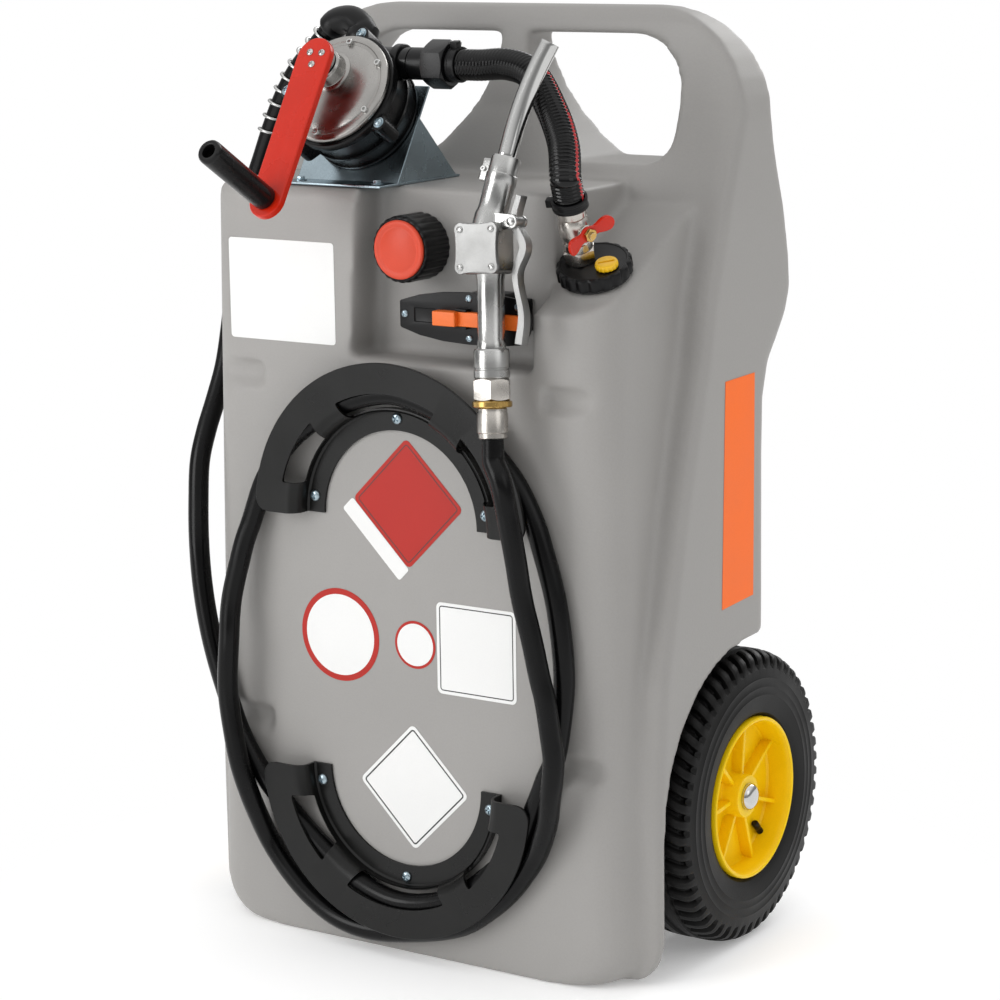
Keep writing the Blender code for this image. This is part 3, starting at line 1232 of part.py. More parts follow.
def build_suction():
    """Adapter, union nut, ribbed hose with two clamps, ball valve, flange, dip tube and strainer."""
    inlet = inlet_end()
    across = Matrix.Translation(inlet) @ Matrix.Rotation(math.radians(90), 4, "Y")
    nut_low = union_start()
    nut_high = nut_low + UNION_LENGTH
    tail = barb_radius()
    bore = tail - TANK_WALL / 3
    adapter = lathe("inlet_adapter", [
        (bore, GAP), (PORT_RADIUS, GAP), (PORT_RADIUS, nut_low - GAP), (ADAPTER_RADIUS, nut_low - GAP),
        (ADAPTER_RADIUS, nut_high), (tail, nut_high), (tail, nut_high + SUCTION_RADIUS * 1.4),
        (bore, nut_high + SUCTION_RADIUS * 1.4),
    ], BLACK_PLASTIC, None, SMALL_STEPS)
    turned(adapter, across)
    nut = prism("union_nut", hexagon(UNION_FLAT_HALF), nut_low, nut_high, "Z", BLACK_PLASTIC)
    bevelled(nut, GAP * 4, 1)
    cut(nut, pin_at(Matrix.Identity(4), ADAPTER_RADIUS + GAP, nut_low - OVERRUN, nut_high + OVERRUN, ROUND_STEPS))
    turned(nut, across)

    points = straight_ended(suction_route(), SUCTION_RIB_PITCH / 2)
    radii = [SUCTION_RADIUS - (SUCTION_RIB_DEPTH if k % 2 else 0.0) for k in range(len(points))]
    sweep("suction_hose", points, radii, SUCTION_BORE, BLACK_RUBBER, 8, None, 6)
    print("suction hose length", round(path_length(points), 3), "ribs", len(points) // 2)
    port = valve_matrix()
    low, adapter_low, valve_low, valve_top = valve_levels()
    clamp_inner = SUCTION_RADIUS + GAP
    clamp_outer = clamp_inner + CLAMP_SHEET
    seat = nut_high + GAP * 4
    ring = rod("hose_clamp_top", clamp_outer, seat, seat + CLAMP_WIDTH, BLACK_PLASTIC, None, ROUND_STEPS, clamp_inner)
    turned(ring, across)
    valve_axis = port @ Matrix.Translation((VALVE_OFFSET_X, 0, 0))
    seat = valve_top + GAP * 4
    ring = rod("hose_clamp_bottom", clamp_outer, seat, seat + CLAMP_WIDTH, BLACK_PLASTIC, None, ROUND_STEPS,
               clamp_inner)
    turned(ring, valve_axis)

    ring = rod("flange_gasket", GASKET_RADIUS, GAP, GAP + GASKET_HEIGHT, SEAL_RUBBER, None, SMALL_STEPS,
               PORT_BORE_RADIUS + GAP)
    turned(ring, port)
    flange = lathe("suction_flange", [
        (0, low), (FLANGE_RADIUS, low), (FLANGE_RADIUS, low + FLANGE_HEIGHT * 0.8),
        (FLANGE_RADIUS * 0.93, low + FLANGE_HEIGHT), (0, low + FLANGE_HEIGHT),
    ], BLACK_PLASTIC, None, lobes=FLANGE_LOBES, lobe_depth=GAP * 6, lobe_from=FLANGE_RADIUS * 0.95)
    stub = DIP_TUBE_RADIUS + GAP * 2
    neck = VENT_CAP_RADIUS * 0.4
    cut(flange, pin_at(Matrix.Translation((VALVE_OFFSET_X, 0, 0)), stub + GAP, -OVERRUN, OVERRUN * 2, SMALL_STEPS))
    vent_at = Matrix.Translation((VENT_CAP_OFFSET_X, VENT_CAP_OFFSET_Y, 0))
    cut(flange, pin_at(vent_at, neck + GAP, -OVERRUN, OVERRUN * 2, SMALL_STEPS))
    turned(smooth(flange, math.radians(35)), port)

    vent = pose("vent_axis", (0, 0, 0))
    vent.matrix_world = port @ vent_at
    seat = low + FLANGE_HEIGHT + GAP
    lathe("vent_cap", [
        (0, low + GAP), (neck, low + GAP), (neck, seat), (VENT_CAP_RADIUS, seat),
        (VENT_CAP_RADIUS, seat + VENT_CAP_HEIGHT * 0.7), (VENT_CAP_RADIUS * 0.8, seat + VENT_CAP_HEIGHT),
        (0, seat + VENT_CAP_HEIGHT),
    ], YELLOW_PLASTIC, vent, SMALL_STEPS)

    dip_bore = DIP_TUBE_RADIUS * 0.82
    dip_tail = dip_bore * math.cos(math.pi / 8) - GAP
    dip_start = -GASKET_HEIGHT
    hexed = prism("hex_adapter", hexagon(VALVE_HEX_HALF), adapter_low, adapter_low + VALVE_HEX_HEIGHT, "Z", NICKEL)
    bevelled(hexed, GAP * 4, 1)
    join(hexed, pin_at(Matrix.Identity(4), stub, dip_start + GAP, adapter_low + VALVE_HEX_HEIGHT / 2, SMALL_STEPS))
    join(hexed, pin_at(Matrix.Identity(4), dip_tail, dip_start - DIP_TUBE_RADIUS * 1.5, dip_start + GAP * 4,
                       SMALL_STEPS))
    cut(hexed, pin_at(Matrix.Identity(4), dip_tail * 0.7, -OVERRUN * 2, adapter_low + OVERRUN * 2, BOLT_STEPS))
    turned(hexed, valve_axis)

    start = valve_axis @ Vector((0, 0, dip_start))
    second = valve_axis @ Vector((0, 0, dip_start - DIP_TUBE_RADIUS * 2.5))
    foot = Vector((FLANGE_X * 0.8, TANK_DEPTH * 0.35, TANK_WALL * 2 + STRAINER_HEIGHT))
    knots = [start, second, Vector((foot.x, foot.y, second.z - DIP_TUBE_RADIUS * 14)),
             Vector((foot.x, foot.y, foot.z + DIP_TUBE_RADIUS * 4)), foot]
    route = straight_ended(knots, DIP_TUBE_RADIUS * 6)
    sweep("dip_tube", route, [DIP_TUBE_RADIUS] * len(route), dip_bore, BLACK_PLASTIC, 8)
    wall = TANK_WALL / 3
    cup = prism("strainer", circle(STRAINER_RADIUS, SMALL_STEPS), -STRAINER_HEIGHT, 0, "Z", STEEL)
    cut(cup, pin_at(Matrix.Identity(4), STRAINER_RADIUS - wall, -STRAINER_HEIGHT + wall, -wall, SMALL_STEPS))
    cut(cup, pin_at(Matrix.Identity(4), dip_bore, -OVERRUN, OVERRUN, BOLT_STEPS))
    smooth(cup)
    turned(cup, Matrix.Translation(foot - Vector((0, 0, GAP))))
    build_valve(valve_axis, valve_low)


def build_valve(valve_axis, valve_low):
    """The ball valve: a turned body, and its ball and stem with the red wing handle and nut."""
    mid = VALVE_HEIGHT / 2
    chamber = VALVE_BALL_RADIUS + GAP * 2
    throat = math.sqrt(chamber ** 2 - VALVE_BORE ** 2)
    end = VALVE_HEIGHT * 0.22
    flat = VALVE_RADIUS * 0.91
    tail = barb_radius()
    top = VALVE_HEIGHT + SUCTION_RADIUS * 1.4
    profile = [
        (VALVE_BORE, 0), (flat, 0), (flat, end), (VALVE_WAIST_RADIUS, end * 1.2),
        (VALVE_RADIUS, mid - throat / 2), (VALVE_RADIUS, mid + throat / 2),
        (VALVE_WAIST_RADIUS, VALVE_HEIGHT - end * 1.2), (flat, VALVE_HEIGHT - end), (flat, VALVE_HEIGHT),
        (tail, VALVE_HEIGHT), (tail, top), (VALVE_BORE, top), (VALVE_BORE, mid + throat),
    ]
    for k in (1, 2, 3):
        height = throat * (1 - k / 2)
        profile.append((math.sqrt(chamber ** 2 - height ** 2), mid + height))
    profile.append((VALVE_BORE, mid - throat))
    body = lathe("valve_body", profile, NICKEL, None, SMALL_STEPS)
    stem_way = Matrix.Translation((0, 0, mid)) @ Matrix.Rotation(-VALVE_STEM_TURN, 4, "Z")
    stem_way = stem_way @ Matrix.Rotation(math.radians(90), 4, "Y")
    join(body, pin_at(stem_way, STEM_BOSS_RADIUS, VALVE_RADIUS * 0.86, STEM_BOSS_REACH, SMALL_STEPS))
    cut(body, pin_at(stem_way, VALVE_STEM_RADIUS + GAP, VALVE_BORE, STEM_BOSS_REACH + OVERRUN, SMALL_STEPS))
    seat = valve_axis @ Matrix.Translation((0, 0, valve_low))
    turned(smooth(body, math.radians(35)), seat)

    axis = pose("valve_stem_axis", (0, 0, 0))
    axis.matrix_world = seat @ stem_way
    steps = 8
    ball_profile = []
    for k in range(steps + 1):
        turn = math.pi * k / steps
        ball_profile.append((VALVE_BALL_RADIUS * math.sin(turn), -VALVE_BALL_RADIUS * math.cos(turn)))
    ball_profile[0] = (0, -VALVE_BALL_RADIUS)
    ball_profile[-1] = (0, VALVE_BALL_RADIUS)
    ball = lathe("valve_ball", ball_profile, STEEL, axis, SMALL_STEPS)
    join(ball, pin_at(Matrix.Identity(4), VALVE_STEM_RADIUS, VALVE_BORE, VALVE_STEM_REACH, BOLT_STEPS))
    through = Matrix.Rotation(math.radians(90), 4, "X")
    cut(ball, pin_at(through, VALVE_BORE * 0.85, -OVERRUN, OVERRUN, SMALL_STEPS))
    smooth(ball)
    low = STEM_BOSS_REACH + GAP
    high = low + WING_THICKNESS
    half = WING_HALF_WIDTH
    outline = arc((0, WING_SPAN - half), half, 0, 180, 6) + arc((0, half - WING_SPAN), half, 180, 360, 6)
    wing = prism("valve_handle", outline, low, high, "Z", RED_PAINT, axis)
    bevelled(wing, WING_THICKNESS / 4, 1)
    turned(wing, Matrix.Rotation(WING_TILT, 4, "Z"))
    cut(wing, pin_at(Matrix.Identity(4), VALVE_STEM_RADIUS + GAP, low - OVERRUN, high + OVERRUN, BOLT_STEPS))
    smooth(wing, math.radians(35))
    nut = prism("valve_nut", hexagon(VALVE_STEM_RADIUS * 1.6), high + GAP, high + GAP + VALVE_STEM_RADIUS, "Z", NICKEL, axis)
    cut(nut, pin_at(Matrix.Identity(4), VALVE_STEM_RADIUS + GAP, high - OVERRUN, high + OVERRUN, BOLT_STEPS))


# Nozzle

def nozzle_matrix():
    lean = Matrix.Rotation(-NOZZLE_SIDE_LEAN, 4, "Y") @ Matrix.Rotation(-NOZZLE_LEAN, 4, "X")
    return Matrix.Translation(NOZZLE_FOOT) @ lean


def build_nozzle():
    """Ferrule, brass ring, swivel nut, collar, body with cover plate, spout and lever, up one axis."""
    frame = pose("nozzle_frame", (0, 0, 0))
    frame.matrix_world = nozzle_matrix()
    bore = NOZZLE_BORE
    low = GAP
    high = low + FERRULE_LENGTH
    edge = FERRULE_RADIUS / 8
    lathe("hose_ferrule", [
        (bore, low), (FERRULE_RADIUS - edge, low), (FERRULE_RADIUS, low + edge), (FERRULE_RADIUS, high - edge),
        (FERRULE_RADIUS - edge, high), (bore, high),
    ], NICKEL, frame, SMALL_STEPS)
    low = high + GAP
    high = low + BRASS_RING_LENGTH
    rod("brass_ring", BRASS_RING_RADIUS, low, high, BRASS, frame, SMALL_STEPS, bore)
    low = high + GAP
    high = low + SWIVEL_LENGTH
    nut = prism("swivel_nut", hexagon(SWIVEL_HALF), low, high, "Z", NICKEL, frame)
    bevelled(nut, GAP * 4, 1)
    cut(nut, pin_at(Matrix.Identity(4), bore, low - OVERRUN, high + OVERRUN, SMALL_STEPS))
    low = high + GAP
    high = low + COLLAR_LENGTH
    lathe("nozzle_collar", [
        (bore, low), (COLLAR_RADIUS, low), (COLLAR_RADIUS, high - edge), (COLLAR_RADIUS - edge, high), (bore, high),
    ], CAST_ALUMINIUM, frame, SMALL_STEPS)
    foot = high + GAP
    chest = foot + TUBE_LENGTH
    top = chest + CHEST_LENGTH
    body = box("nozzle_body", (-CHEST_LEFT, CHEST_RIGHT), (-CHEST_FRONT, CHEST_BACK), (chest, top),
               CAST_ALUMINIUM, frame)
    bevelled(body, EAR_THICKNESS, 2)
    join(body, pin_at(Matrix.Identity(4), TUBE_RADIUS, foot, chest + CHEST_LENGTH / 2, SMALL_STEPS))
    bent = Matrix.Translation((0, 0, top)) @ Matrix.Rotation(-NOSE_LEAN, 4, "X")
    bent = bent @ Matrix.Rotation(NOSE_SIDE_LEAN, 4, "Y")
    join(body, pin_at(bent, NOSE_RADIUS, -NOSE_RADIUS, NOSE_LENGTH, SMALL_STEPS))
    for side in (-1, 1):
        near = LEVER_HALF_WIDTH + GAP
        outline = [(0, top - EAR_RADIUS)] + arc((LEVER_PIVOT_X, top), EAR_RADIUS, 270, 450, 6)
        outline += [(0, top + EAR_RADIUS)]
        ear = prism("ear", outline, *sorted((near * side, (near + EAR_THICKNESS) * side)), "Y")
        join(body, ear)
    cut(body, pin_at(Matrix.Identity(4), bore, foot - OVERRUN, top, BOLT_STEPS))
    cut(body, pin_at(bent, bore, -GAP * 10, NOSE_LENGTH + OVERRUN, BOLT_STEPS))
    pivot = Matrix.Translation((LEVER_PIVOT_X, 0, top)) @ Matrix.Rotation(math.radians(90), 4, "X")
    cut(body, pin_at(pivot, LEVER_PIN_RADIUS + GAP, -OVERRUN, OVERRUN))
    middle = (chest + top) / 2
    plate_x = (CHEST_RIGHT - CHEST_LEFT) / 2
    front = -CHEST_FRONT - GAP
    face = front - COVER_PLATE_THICKNESS
    smooth(body, math.radians(35))
    half = COVER_PLATE_HALF
    plate = box("nozzle_cover", (plate_x - half, plate_x + half), (face, front), (middle - half, middle + half),
                CAST_ALUMINIUM, frame)
    bevelled(plate, COVER_PLATE_THICKNESS / 4, 1)
    smooth(plate, math.radians(35))

    rise = NOSE_LENGTH + GAP
    knots = [(SPOUT_REACH * across, 0, rise + SPOUT_RISE * up) for across, up in SPOUT_SHARES]
    route = smooth_path([bent @ Vector(knot) for knot in knots], SPOUT_RADIUS * 2.2)
    sweep("nozzle_spout", route, [SPOUT_RADIUS] * len(route), SPOUT_BORE, STEEL, 10, frame)

    hinge = pose("lever_axis", (LEVER_PIVOT_X, 0, top), (math.radians(90), 0, 0))
    hinge.parent = frame
    line = [Vector((x * LEVER_LENGTH, -z * LEVER_LENGTH, 0)) for x, z in LEVER_LINE_SHARES]
    line = smooth_path(line, LEVER_LENGTH / 11)
    left = []
    right = []
    for index, place in enumerate(line):
        before = line[max(index - 1, 0)]
        after = line[min(index + 1, len(line) - 1)]
        way = (after - before).normalized()
        side = Vector((-way.y, way.x, 0)) * LEVER_THICKNESS / 2
        left.append((place + side)[:2])
        right.append((place - side)[:2])
    lever = prism("nozzle_lever", left + right[::-1], -LEVER_HALF_WIDTH, LEVER_HALF_WIDTH, "Z", CAST_ALUMINIUM, hinge)
    join(lever, pin_at(Matrix.Identity(4), LEVER_PIN_RADIUS * 1.9, -LEVER_HALF_WIDTH, LEVER_HALF_WIDTH, SMALL_STEPS))
    cut(lever, pin_at(Matrix.Identity(4), LEVER_PIN_RADIUS + GAP, -OVERRUN, OVERRUN))
    smooth(lever, math.radians(35))
    reach = LEVER_HALF_WIDTH + EAR_THICKNESS + GAP * 2
    head = LEVER_PIN_RADIUS / 2
    lathe("lever_pin", [
        (0, -reach - head), (LEVER_PIN_RADIUS + head, -reach - head), (LEVER_PIN_RADIUS + head, -reach),
        (LEVER_PIN_RADIUS, -reach), (LEVER_PIN_RADIUS, reach), (LEVER_PIN_RADIUS + head, reach),
        (LEVER_PIN_RADIUS + head, reach + head), (0, reach + head),
    ], STEEL, hinge, BOLT_STEPS)


def build_holster():
    """The nozzle's holster on the niche wall, with a sliding latch bar behind the nozzle's handle."""
    wall = NICHE_DEPTH - GAP
    front = NICHE_DEPTH - HOLSTER_REACH
    middle = (HOLSTER_FLOOR_Z + HOLSTER_TOP_Z) / 2
    half = (HOLSTER_TOP_Z - HOLSTER_FLOOR_Z) / 2
    outline = arc((HOLSTER_RIGHT_X - half / 2, middle), half, -60, 60, 4)
    taper = HOLSTER_RIGHT_X - HOLSTER_LEFT_X
    upper = [(HOLSTER_LEFT_X + taper * across, half * rise) for across, rise in HOLSTER_TAPER_SHARES]
    upper.append((HOLSTER_LEFT_X, HOLSTER_TIP_HALF))
    outline += [(x, middle + rise) for x, rise in upper]
    outline += [(x, middle - rise) for x, rise in reversed(upper)]
    plate = prism("holster_bracket", outline, front, front + HOLSTER_SHEET, "Y", BLACK_PLASTIC)
    inset = HOLSTER_STEM_INSET
    stem = box("stem", HOLSTER_STEM_X, (front + HOLSTER_SHEET / 2, wall - HOLSTER_SHEET / 2),
               (HOLSTER_FLOOR_Z + inset, HOLSTER_TOP_Z - inset))
    join(plate, stem)
    foot = box("foot", (HOLSTER_STEM_X[0] - HOLSTER_FOOT_HALF, HOLSTER_STEM_X[1] + HOLSTER_FOOT_HALF),
               (wall - HOLSTER_SHEET, wall), (middle - HOLSTER_FOOT_HALF, middle + HOLSTER_FOOT_HALF))
    join(plate, foot)
    level = LATCH_HEIGHT / 2 + GAP
    rail = LATCH_GUIDE_HEIGHT
    for low in (middle + level, middle - level - rail):
        join(plate, box("rail", LATCH_GUIDE_X, (front - LATCH_THICKNESS, front + HOLSTER_SHEET / 2), (low, low + rail)))
    back = front - GAP
    low = middle - LATCH_HEIGHT / 2
    high = middle + LATCH_HEIGHT / 2
    latch = box("holster_latch", (LATCH_LEFT_X, LATCH_RIGHT_X), (back - LATCH_THICKNESS + GAP, back), (low, high),
                ORANGE_PLASTIC)
    join(latch, box("latch_grip", (LATCH_LEFT_X - GAP, LATCH_LEFT_X + LATCH_GRIP_WIDTH),
                    (back - LATCH_GRIP_THICKNESS, back - GAP), (low - GAP, high + GAP)))


# Running gear

def build_wheel(name, side):
    """A tyre open to its rim, a ribbed rim with its hub, an inflation valve and a chromed axle cap."""
    hub = pose("wheel_axis_" + name, (WHEEL_MID_X * side, WHEEL_Y, WHEEL_RADIUS), (0, math.radians(90) * side, 0))
    half = TYRE_WIDTH / 2
    bead = TYRE_BEAD_WIDTH / 2
    wall = TYRE_WALL
    r = RIM_RADIUS + GAP
    rise = WHEEL_RADIUS - r
    outer = [(r, -bead), (r + rise * 0.3, -half), (WHEEL_RADIUS - wall * 0.7, -half * 0.86), (WHEEL_RADIUS, -half * 0.5)]
    outer += [(radius, -z) for radius, z in reversed(outer)]
    inner = [(r, bead - wall), (r + rise * 0.3, half - wall), (WHEEL_RADIUS - wall, half * 0.6)]
    inner += [(radius, -z) for radius, z in reversed(inner)]
    lathe("tyre_" + name, outer + inner, BLACK_RUBBER, hub, ROUND_STEPS)
    seat = WHEEL_MID_X - WELL_WALL_X - GAP
    bore = AXLE_RADIUS + GAP
    barrel = RIM_RADIUS - RIM_BARREL
    lip = bead + RIM_LIP
    web = RIM_WEB_X
    rim = lathe("rim_" + name, [
        (bore, -seat), (HUB_RADIUS, -seat), (HUB_RADIUS, web), (barrel, web), (barrel, -bead), (RIM_RADIUS, -bead),
        (RIM_RADIUS, lip), (barrel, lip), (barrel, web + RIM_WEB), (HUB_RADIUS, web + RIM_WEB), (HUB_RADIUS, HUB_REACH),
        (bore, HUB_REACH),
    ], YELLOW_PLASTIC, hub, ROUND_STEPS)
    for k in range(RIM_RIBS):
        rib = box("rib", (HUB_RADIUS * 0.8, barrel + RIM_BARREL / 2), (-RIM_RIB_THICKNESS / 2, RIM_RIB_THICKNESS / 2),
                  (web + RIM_WEB / 2, web + RIM_RIB_HEIGHT))
        join(rim, turned(rib, Matrix.Rotation(math.tau * (k + 0.37) / RIM_RIBS, 4, "Z")))
    valve_at = Matrix.Rotation(math.tau * 0.87 / RIM_RIBS, 4, "Z") @ Matrix.Translation((barrel, 0, bead - wall * 2))
    valve_at = valve_at @ Matrix.Rotation(math.radians(-90), 4, "Y")
    cut(rim, pin_at(valve_at, TYRE_VALVE_RADIUS + GAP, -OVERRUN, OVERRUN))
    smooth(rim, math.radians(35))
    stem = rod("tyre_valve_" + name, TYRE_VALVE_RADIUS, -RIM_BARREL - wall / 2, TYRE_VALVE_LENGTH - RIM_BARREL, BLACK_RUBBER,
               None, BOLT_STEPS)
    turned(stem, valve_at)
    stem.parent = hub
    end = HUB_REACH + AXLE_RADIUS * 0.6
    cap_low = HUB_REACH + GAP
    cap_high = cap_low + AXLE_CAP_LENGTH
    lathe("axle_cap_" + name, [
        (0, end + GAP), (bore, end + GAP), (bore, cap_low), (AXLE_CAP_RADIUS, cap_low),
        (AXLE_CAP_RADIUS, cap_high - AXLE_CAP_LENGTH / 3), (AXLE_CAP_RADIUS * 0.7, cap_high), (0, cap_high),
    ], CHROME, hub, SMALL_STEPS)


def build_running_gear():
    build_wheel("left", -1)
    build_wheel("right", 1)
    reach = WHEEL_MID_X + HUB_REACH + AXLE_RADIUS * 0.6
    axle = rod("axle", AXLE_RADIUS, -reach, reach, STEEL, None, SMALL_STEPS)
    turned(axle, Matrix.Translation((0, WHEEL_Y, WHEEL_RADIUS)) @ Matrix.Rotation(math.radians(90), 4, "Y"))


def main():
    clear_scene()
    build_tank()
    build_fill_cap()
    build_holder("hose_holder_upper", HOLDER_UPPER_Z, 1)
    build_holder("hose_holder_lower", HOLDER_LOWER_Z, -1)
    build_holder_screws("upper", HOLDER_UPPER_Z, 1)
    build_holder_screws("lower", HOLDER_LOWER_Z, -1)
    build_pump()
    build_bracket()
    build_delivery()
    build_suction()
    build_nozzle()
    build_holster()
    build_running_gear()


main()
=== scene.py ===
from bisect import bisect_left
from math import copysign, cos, pi, radians, sin, sqrt, tau

import bmesh
import bpy
from mathutils import Matrix, Vector


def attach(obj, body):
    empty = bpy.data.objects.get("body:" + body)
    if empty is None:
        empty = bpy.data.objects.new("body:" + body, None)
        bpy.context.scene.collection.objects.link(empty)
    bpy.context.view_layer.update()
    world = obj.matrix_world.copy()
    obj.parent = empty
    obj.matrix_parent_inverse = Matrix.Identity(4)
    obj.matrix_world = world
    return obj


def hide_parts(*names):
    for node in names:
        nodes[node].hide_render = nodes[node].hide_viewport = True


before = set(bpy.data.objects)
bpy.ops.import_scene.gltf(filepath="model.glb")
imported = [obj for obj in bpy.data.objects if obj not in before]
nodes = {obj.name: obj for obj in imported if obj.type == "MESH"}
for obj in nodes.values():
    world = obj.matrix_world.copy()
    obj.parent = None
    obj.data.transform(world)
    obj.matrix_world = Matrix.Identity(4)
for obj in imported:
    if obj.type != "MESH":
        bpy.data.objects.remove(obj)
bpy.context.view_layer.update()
scene = bpy.context.scene

# Lengths are typed in millimetres and angles in degrees, unless a comment says otherwise. Meshes, matrices
# and paths hold metres.

MM = 0.001
SEAM = 0.3 * MM
WELD = 0.002 * MM


def added(name, data):
    made = bpy.data.objects.new(name, data)
    scene.collection.objects.link(made)
    return made


# Camera at the photograph's angle, in metres

CAMERA_PLACE = (1.8132, -2.5655, 1.1480)
LOOK = Vector((-0.5383, 0.8185, -0.201)).normalized()
LEVEL = Vector((0.837, 0.547, -0.014))
SENSOR_WIDTH = 36
LENS = 108.9

camera = added("camera", bpy.data.cameras.new("camera"))
camera.data.sensor_width = SENSOR_WIDTH
camera.data.lens = LENS
camera.data.clip_end = 40
side_way = (LEVEL - LOOK * LEVEL.dot(LOOK)).normalized()
turn = Matrix((side_way, side_way.cross(LOOK), -LOOK)).transposed().to_4x4()
camera.matrix_world = Matrix.Translation(CAMERA_PLACE) @ turn
scene.camera = camera
scene.view_settings.view_transform = "Standard"


# Paths

def spot(x, y, z):
    return Vector((x * MM, y * MM, z * MM))


def lengths_along(points):
    """The length walked to each point of a path."""
    walked = [0.0]
    for before, here in zip(points, points[1:]):
        walked.append(walked[-1] + (here - before).length)
    return walked


def locate(walked, distance):
    """The step of a path that holds a distance, and how far along that step it lies."""
    index = min(max(bisect_left(walked, distance) - 1, 0), len(walked) - 2)
    return index, (distance - walked[index]) / (walked[index + 1] - walked[index])


def between(a, b, start, end, t):
    return a * ((end - t) / (end - start)) + b * ((t - start) / (end - start))


def smooth_path(points, spacing, lead=None, tail=None):
    """Points at even spacing along a centripetal Catmull-Rom curve."""
    knots = [lead or 2 * points[0] - points[1], *points, tail or 2 * points[-1] - points[-2]]
    fine = []
    for a, b, c, d in zip(knots, knots[1:], knots[2:], knots[3:]):
        t1 = sqrt((b - a).length)
        t2 = t1 + sqrt((c - b).length)
        t3 = t2 + sqrt((d - c).length)
        for step in range(24):
            t = t1 + (t2 - t1) * step / 24
            middle = between(b, c, t1, t2, t)
            first = between(between(a, b, 0, t1, t), middle, 0, t2, t)
            last = between(middle, between(c, d, t2, t3, t), t1, t3, t)
            fine.append(between(first, last, t1, t2, t))
    fine.append(knots[-2])
    walked = lengths_along(fine)
    count = max(2, round(walked[-1] / (spacing * MM)))
    even = []
    for step in range(count + 1):
        index, share = locate(walked, walked[-1] * step / count)
        even.append(fine[index].lerp(fine[index + 1], share))
    return even


def even_steps(start, end, spacing):
    count = max(1, round((end - start).length / (spacing * MM)))
    return [start.lerp(end, k / count) for k in range(count + 1)]


def straight_ended(knots, spacing):
    """A smooth path whose first and last stretches are straight."""
    middle = smooth_path(knots[1:-1], spacing, knots[0], knots[-1])
    head = even_steps(knots[0], knots[1], spacing)
    foot = even_steps(knots[-2], knots[-1], spacing)
    return [*head[:-1], *middle, *foot[1:]]


def frames_along(points):
    """The side and up directions at each point, carried along without twist."""
    tangents = []
    for index in range(len(points)):
        before = points[max(index - 1, 0)]
        after = points[min(index + 1, len(points) - 1)]
        tangents.append((after - before).normalized())
    side = tangents[0].orthogonal().normalized()
    frames = []
    for tangent in tangents:
        side = (side - tangent * side.dot(tangent)).normalized()
        frames.append((side, tangent.cross(side)))
    return frames


# Places: each has its piece's axis along Z

def shift(x, y, z):
    return Matrix.Translation(spot(x, y, z))


def turned(degrees, axis):
    return Matrix.Rotation(radians(degrees), 4, axis)


def around(x, y, z):
    """A place whose Z axis points out of the front."""
    return shift(x, y, z) @ turned(90, "X")


CRANK_REACH = 168
CASTING_TOP = 219
LEVER_PIVOT = 32
HOLSTER_Z = 707
PUMP = shift(-90, 30, 932) @ turned(58, "X")
PUMP_INLET = PUMP @ shift(0, 48, -26) @ turned(90, "Y")
PUMP_OUTLET = PUMP @ shift(-14, 0, -26) @ turned(-90, "X")
CRANK = PUMP @ shift(-11.7, 18, 0)
GRIP = CRANK @ shift(0, -CRANK_REACH, 0)
CAP = around(4, 44.7, 771.5)
PORT = shift(210, 56.6, 750.09) @ turned(5, "Y") @ turned(25, "X")
VALVE = PORT @ shift(-15, 0, 0)
SEAT = VALVE @ shift(0, 0, 32.2)
STEM = SEAT @ shift(0, 0, 23) @ turned(-20, "Z") @ turned(90, "Y")
NOZZLE = shift(150.5, -49, 592) @ turned(-4.4, "Y") @ turned(-6.7, "X")
BENT = NOZZLE @ shift(0, 0, CASTING_TOP) @ turned(-13, "X") @ turned(10, "Y")
LEVER = NOZZLE @ around(LEVER_PIVOT, 0, CASTING_TOP)
INLET = PUMP @ spot(64, 48, -26)
ACROSS = Matrix.Translation(INLET) @ turned(90, "Y")


# Materials: every one varies in colour, gloss and fine relief

def set_inputs(made, values):
    for key, value in values.items():
        made.inputs[key].default_value = value


def node(tree, kind, inputs=None, **options):
    made = tree.nodes.new("ShaderNode" + kind)
    for key, value in options.items():
        setattr(made, key, value)
    set_inputs(made, inputs or {})
    return made


def ramp(tree, *stops):
    """A colour ramp from positions and colours."""
    made = node(tree, "ValToRGB")
    knots = made.color_ramp.elements
    while len(knots) < len(stops):
        knots.new(0.5)
    for knot, (position, colour) in zip(knots, stops):
        knot.position = position
        knot.color = (*colour, 1)
    return made


def wire(tree, *links):
    """Links, each a node, its output, the next node and its input."""
    for source, output, target, into in links:
        tree.links.new(source.outputs[output], target.inputs[into])


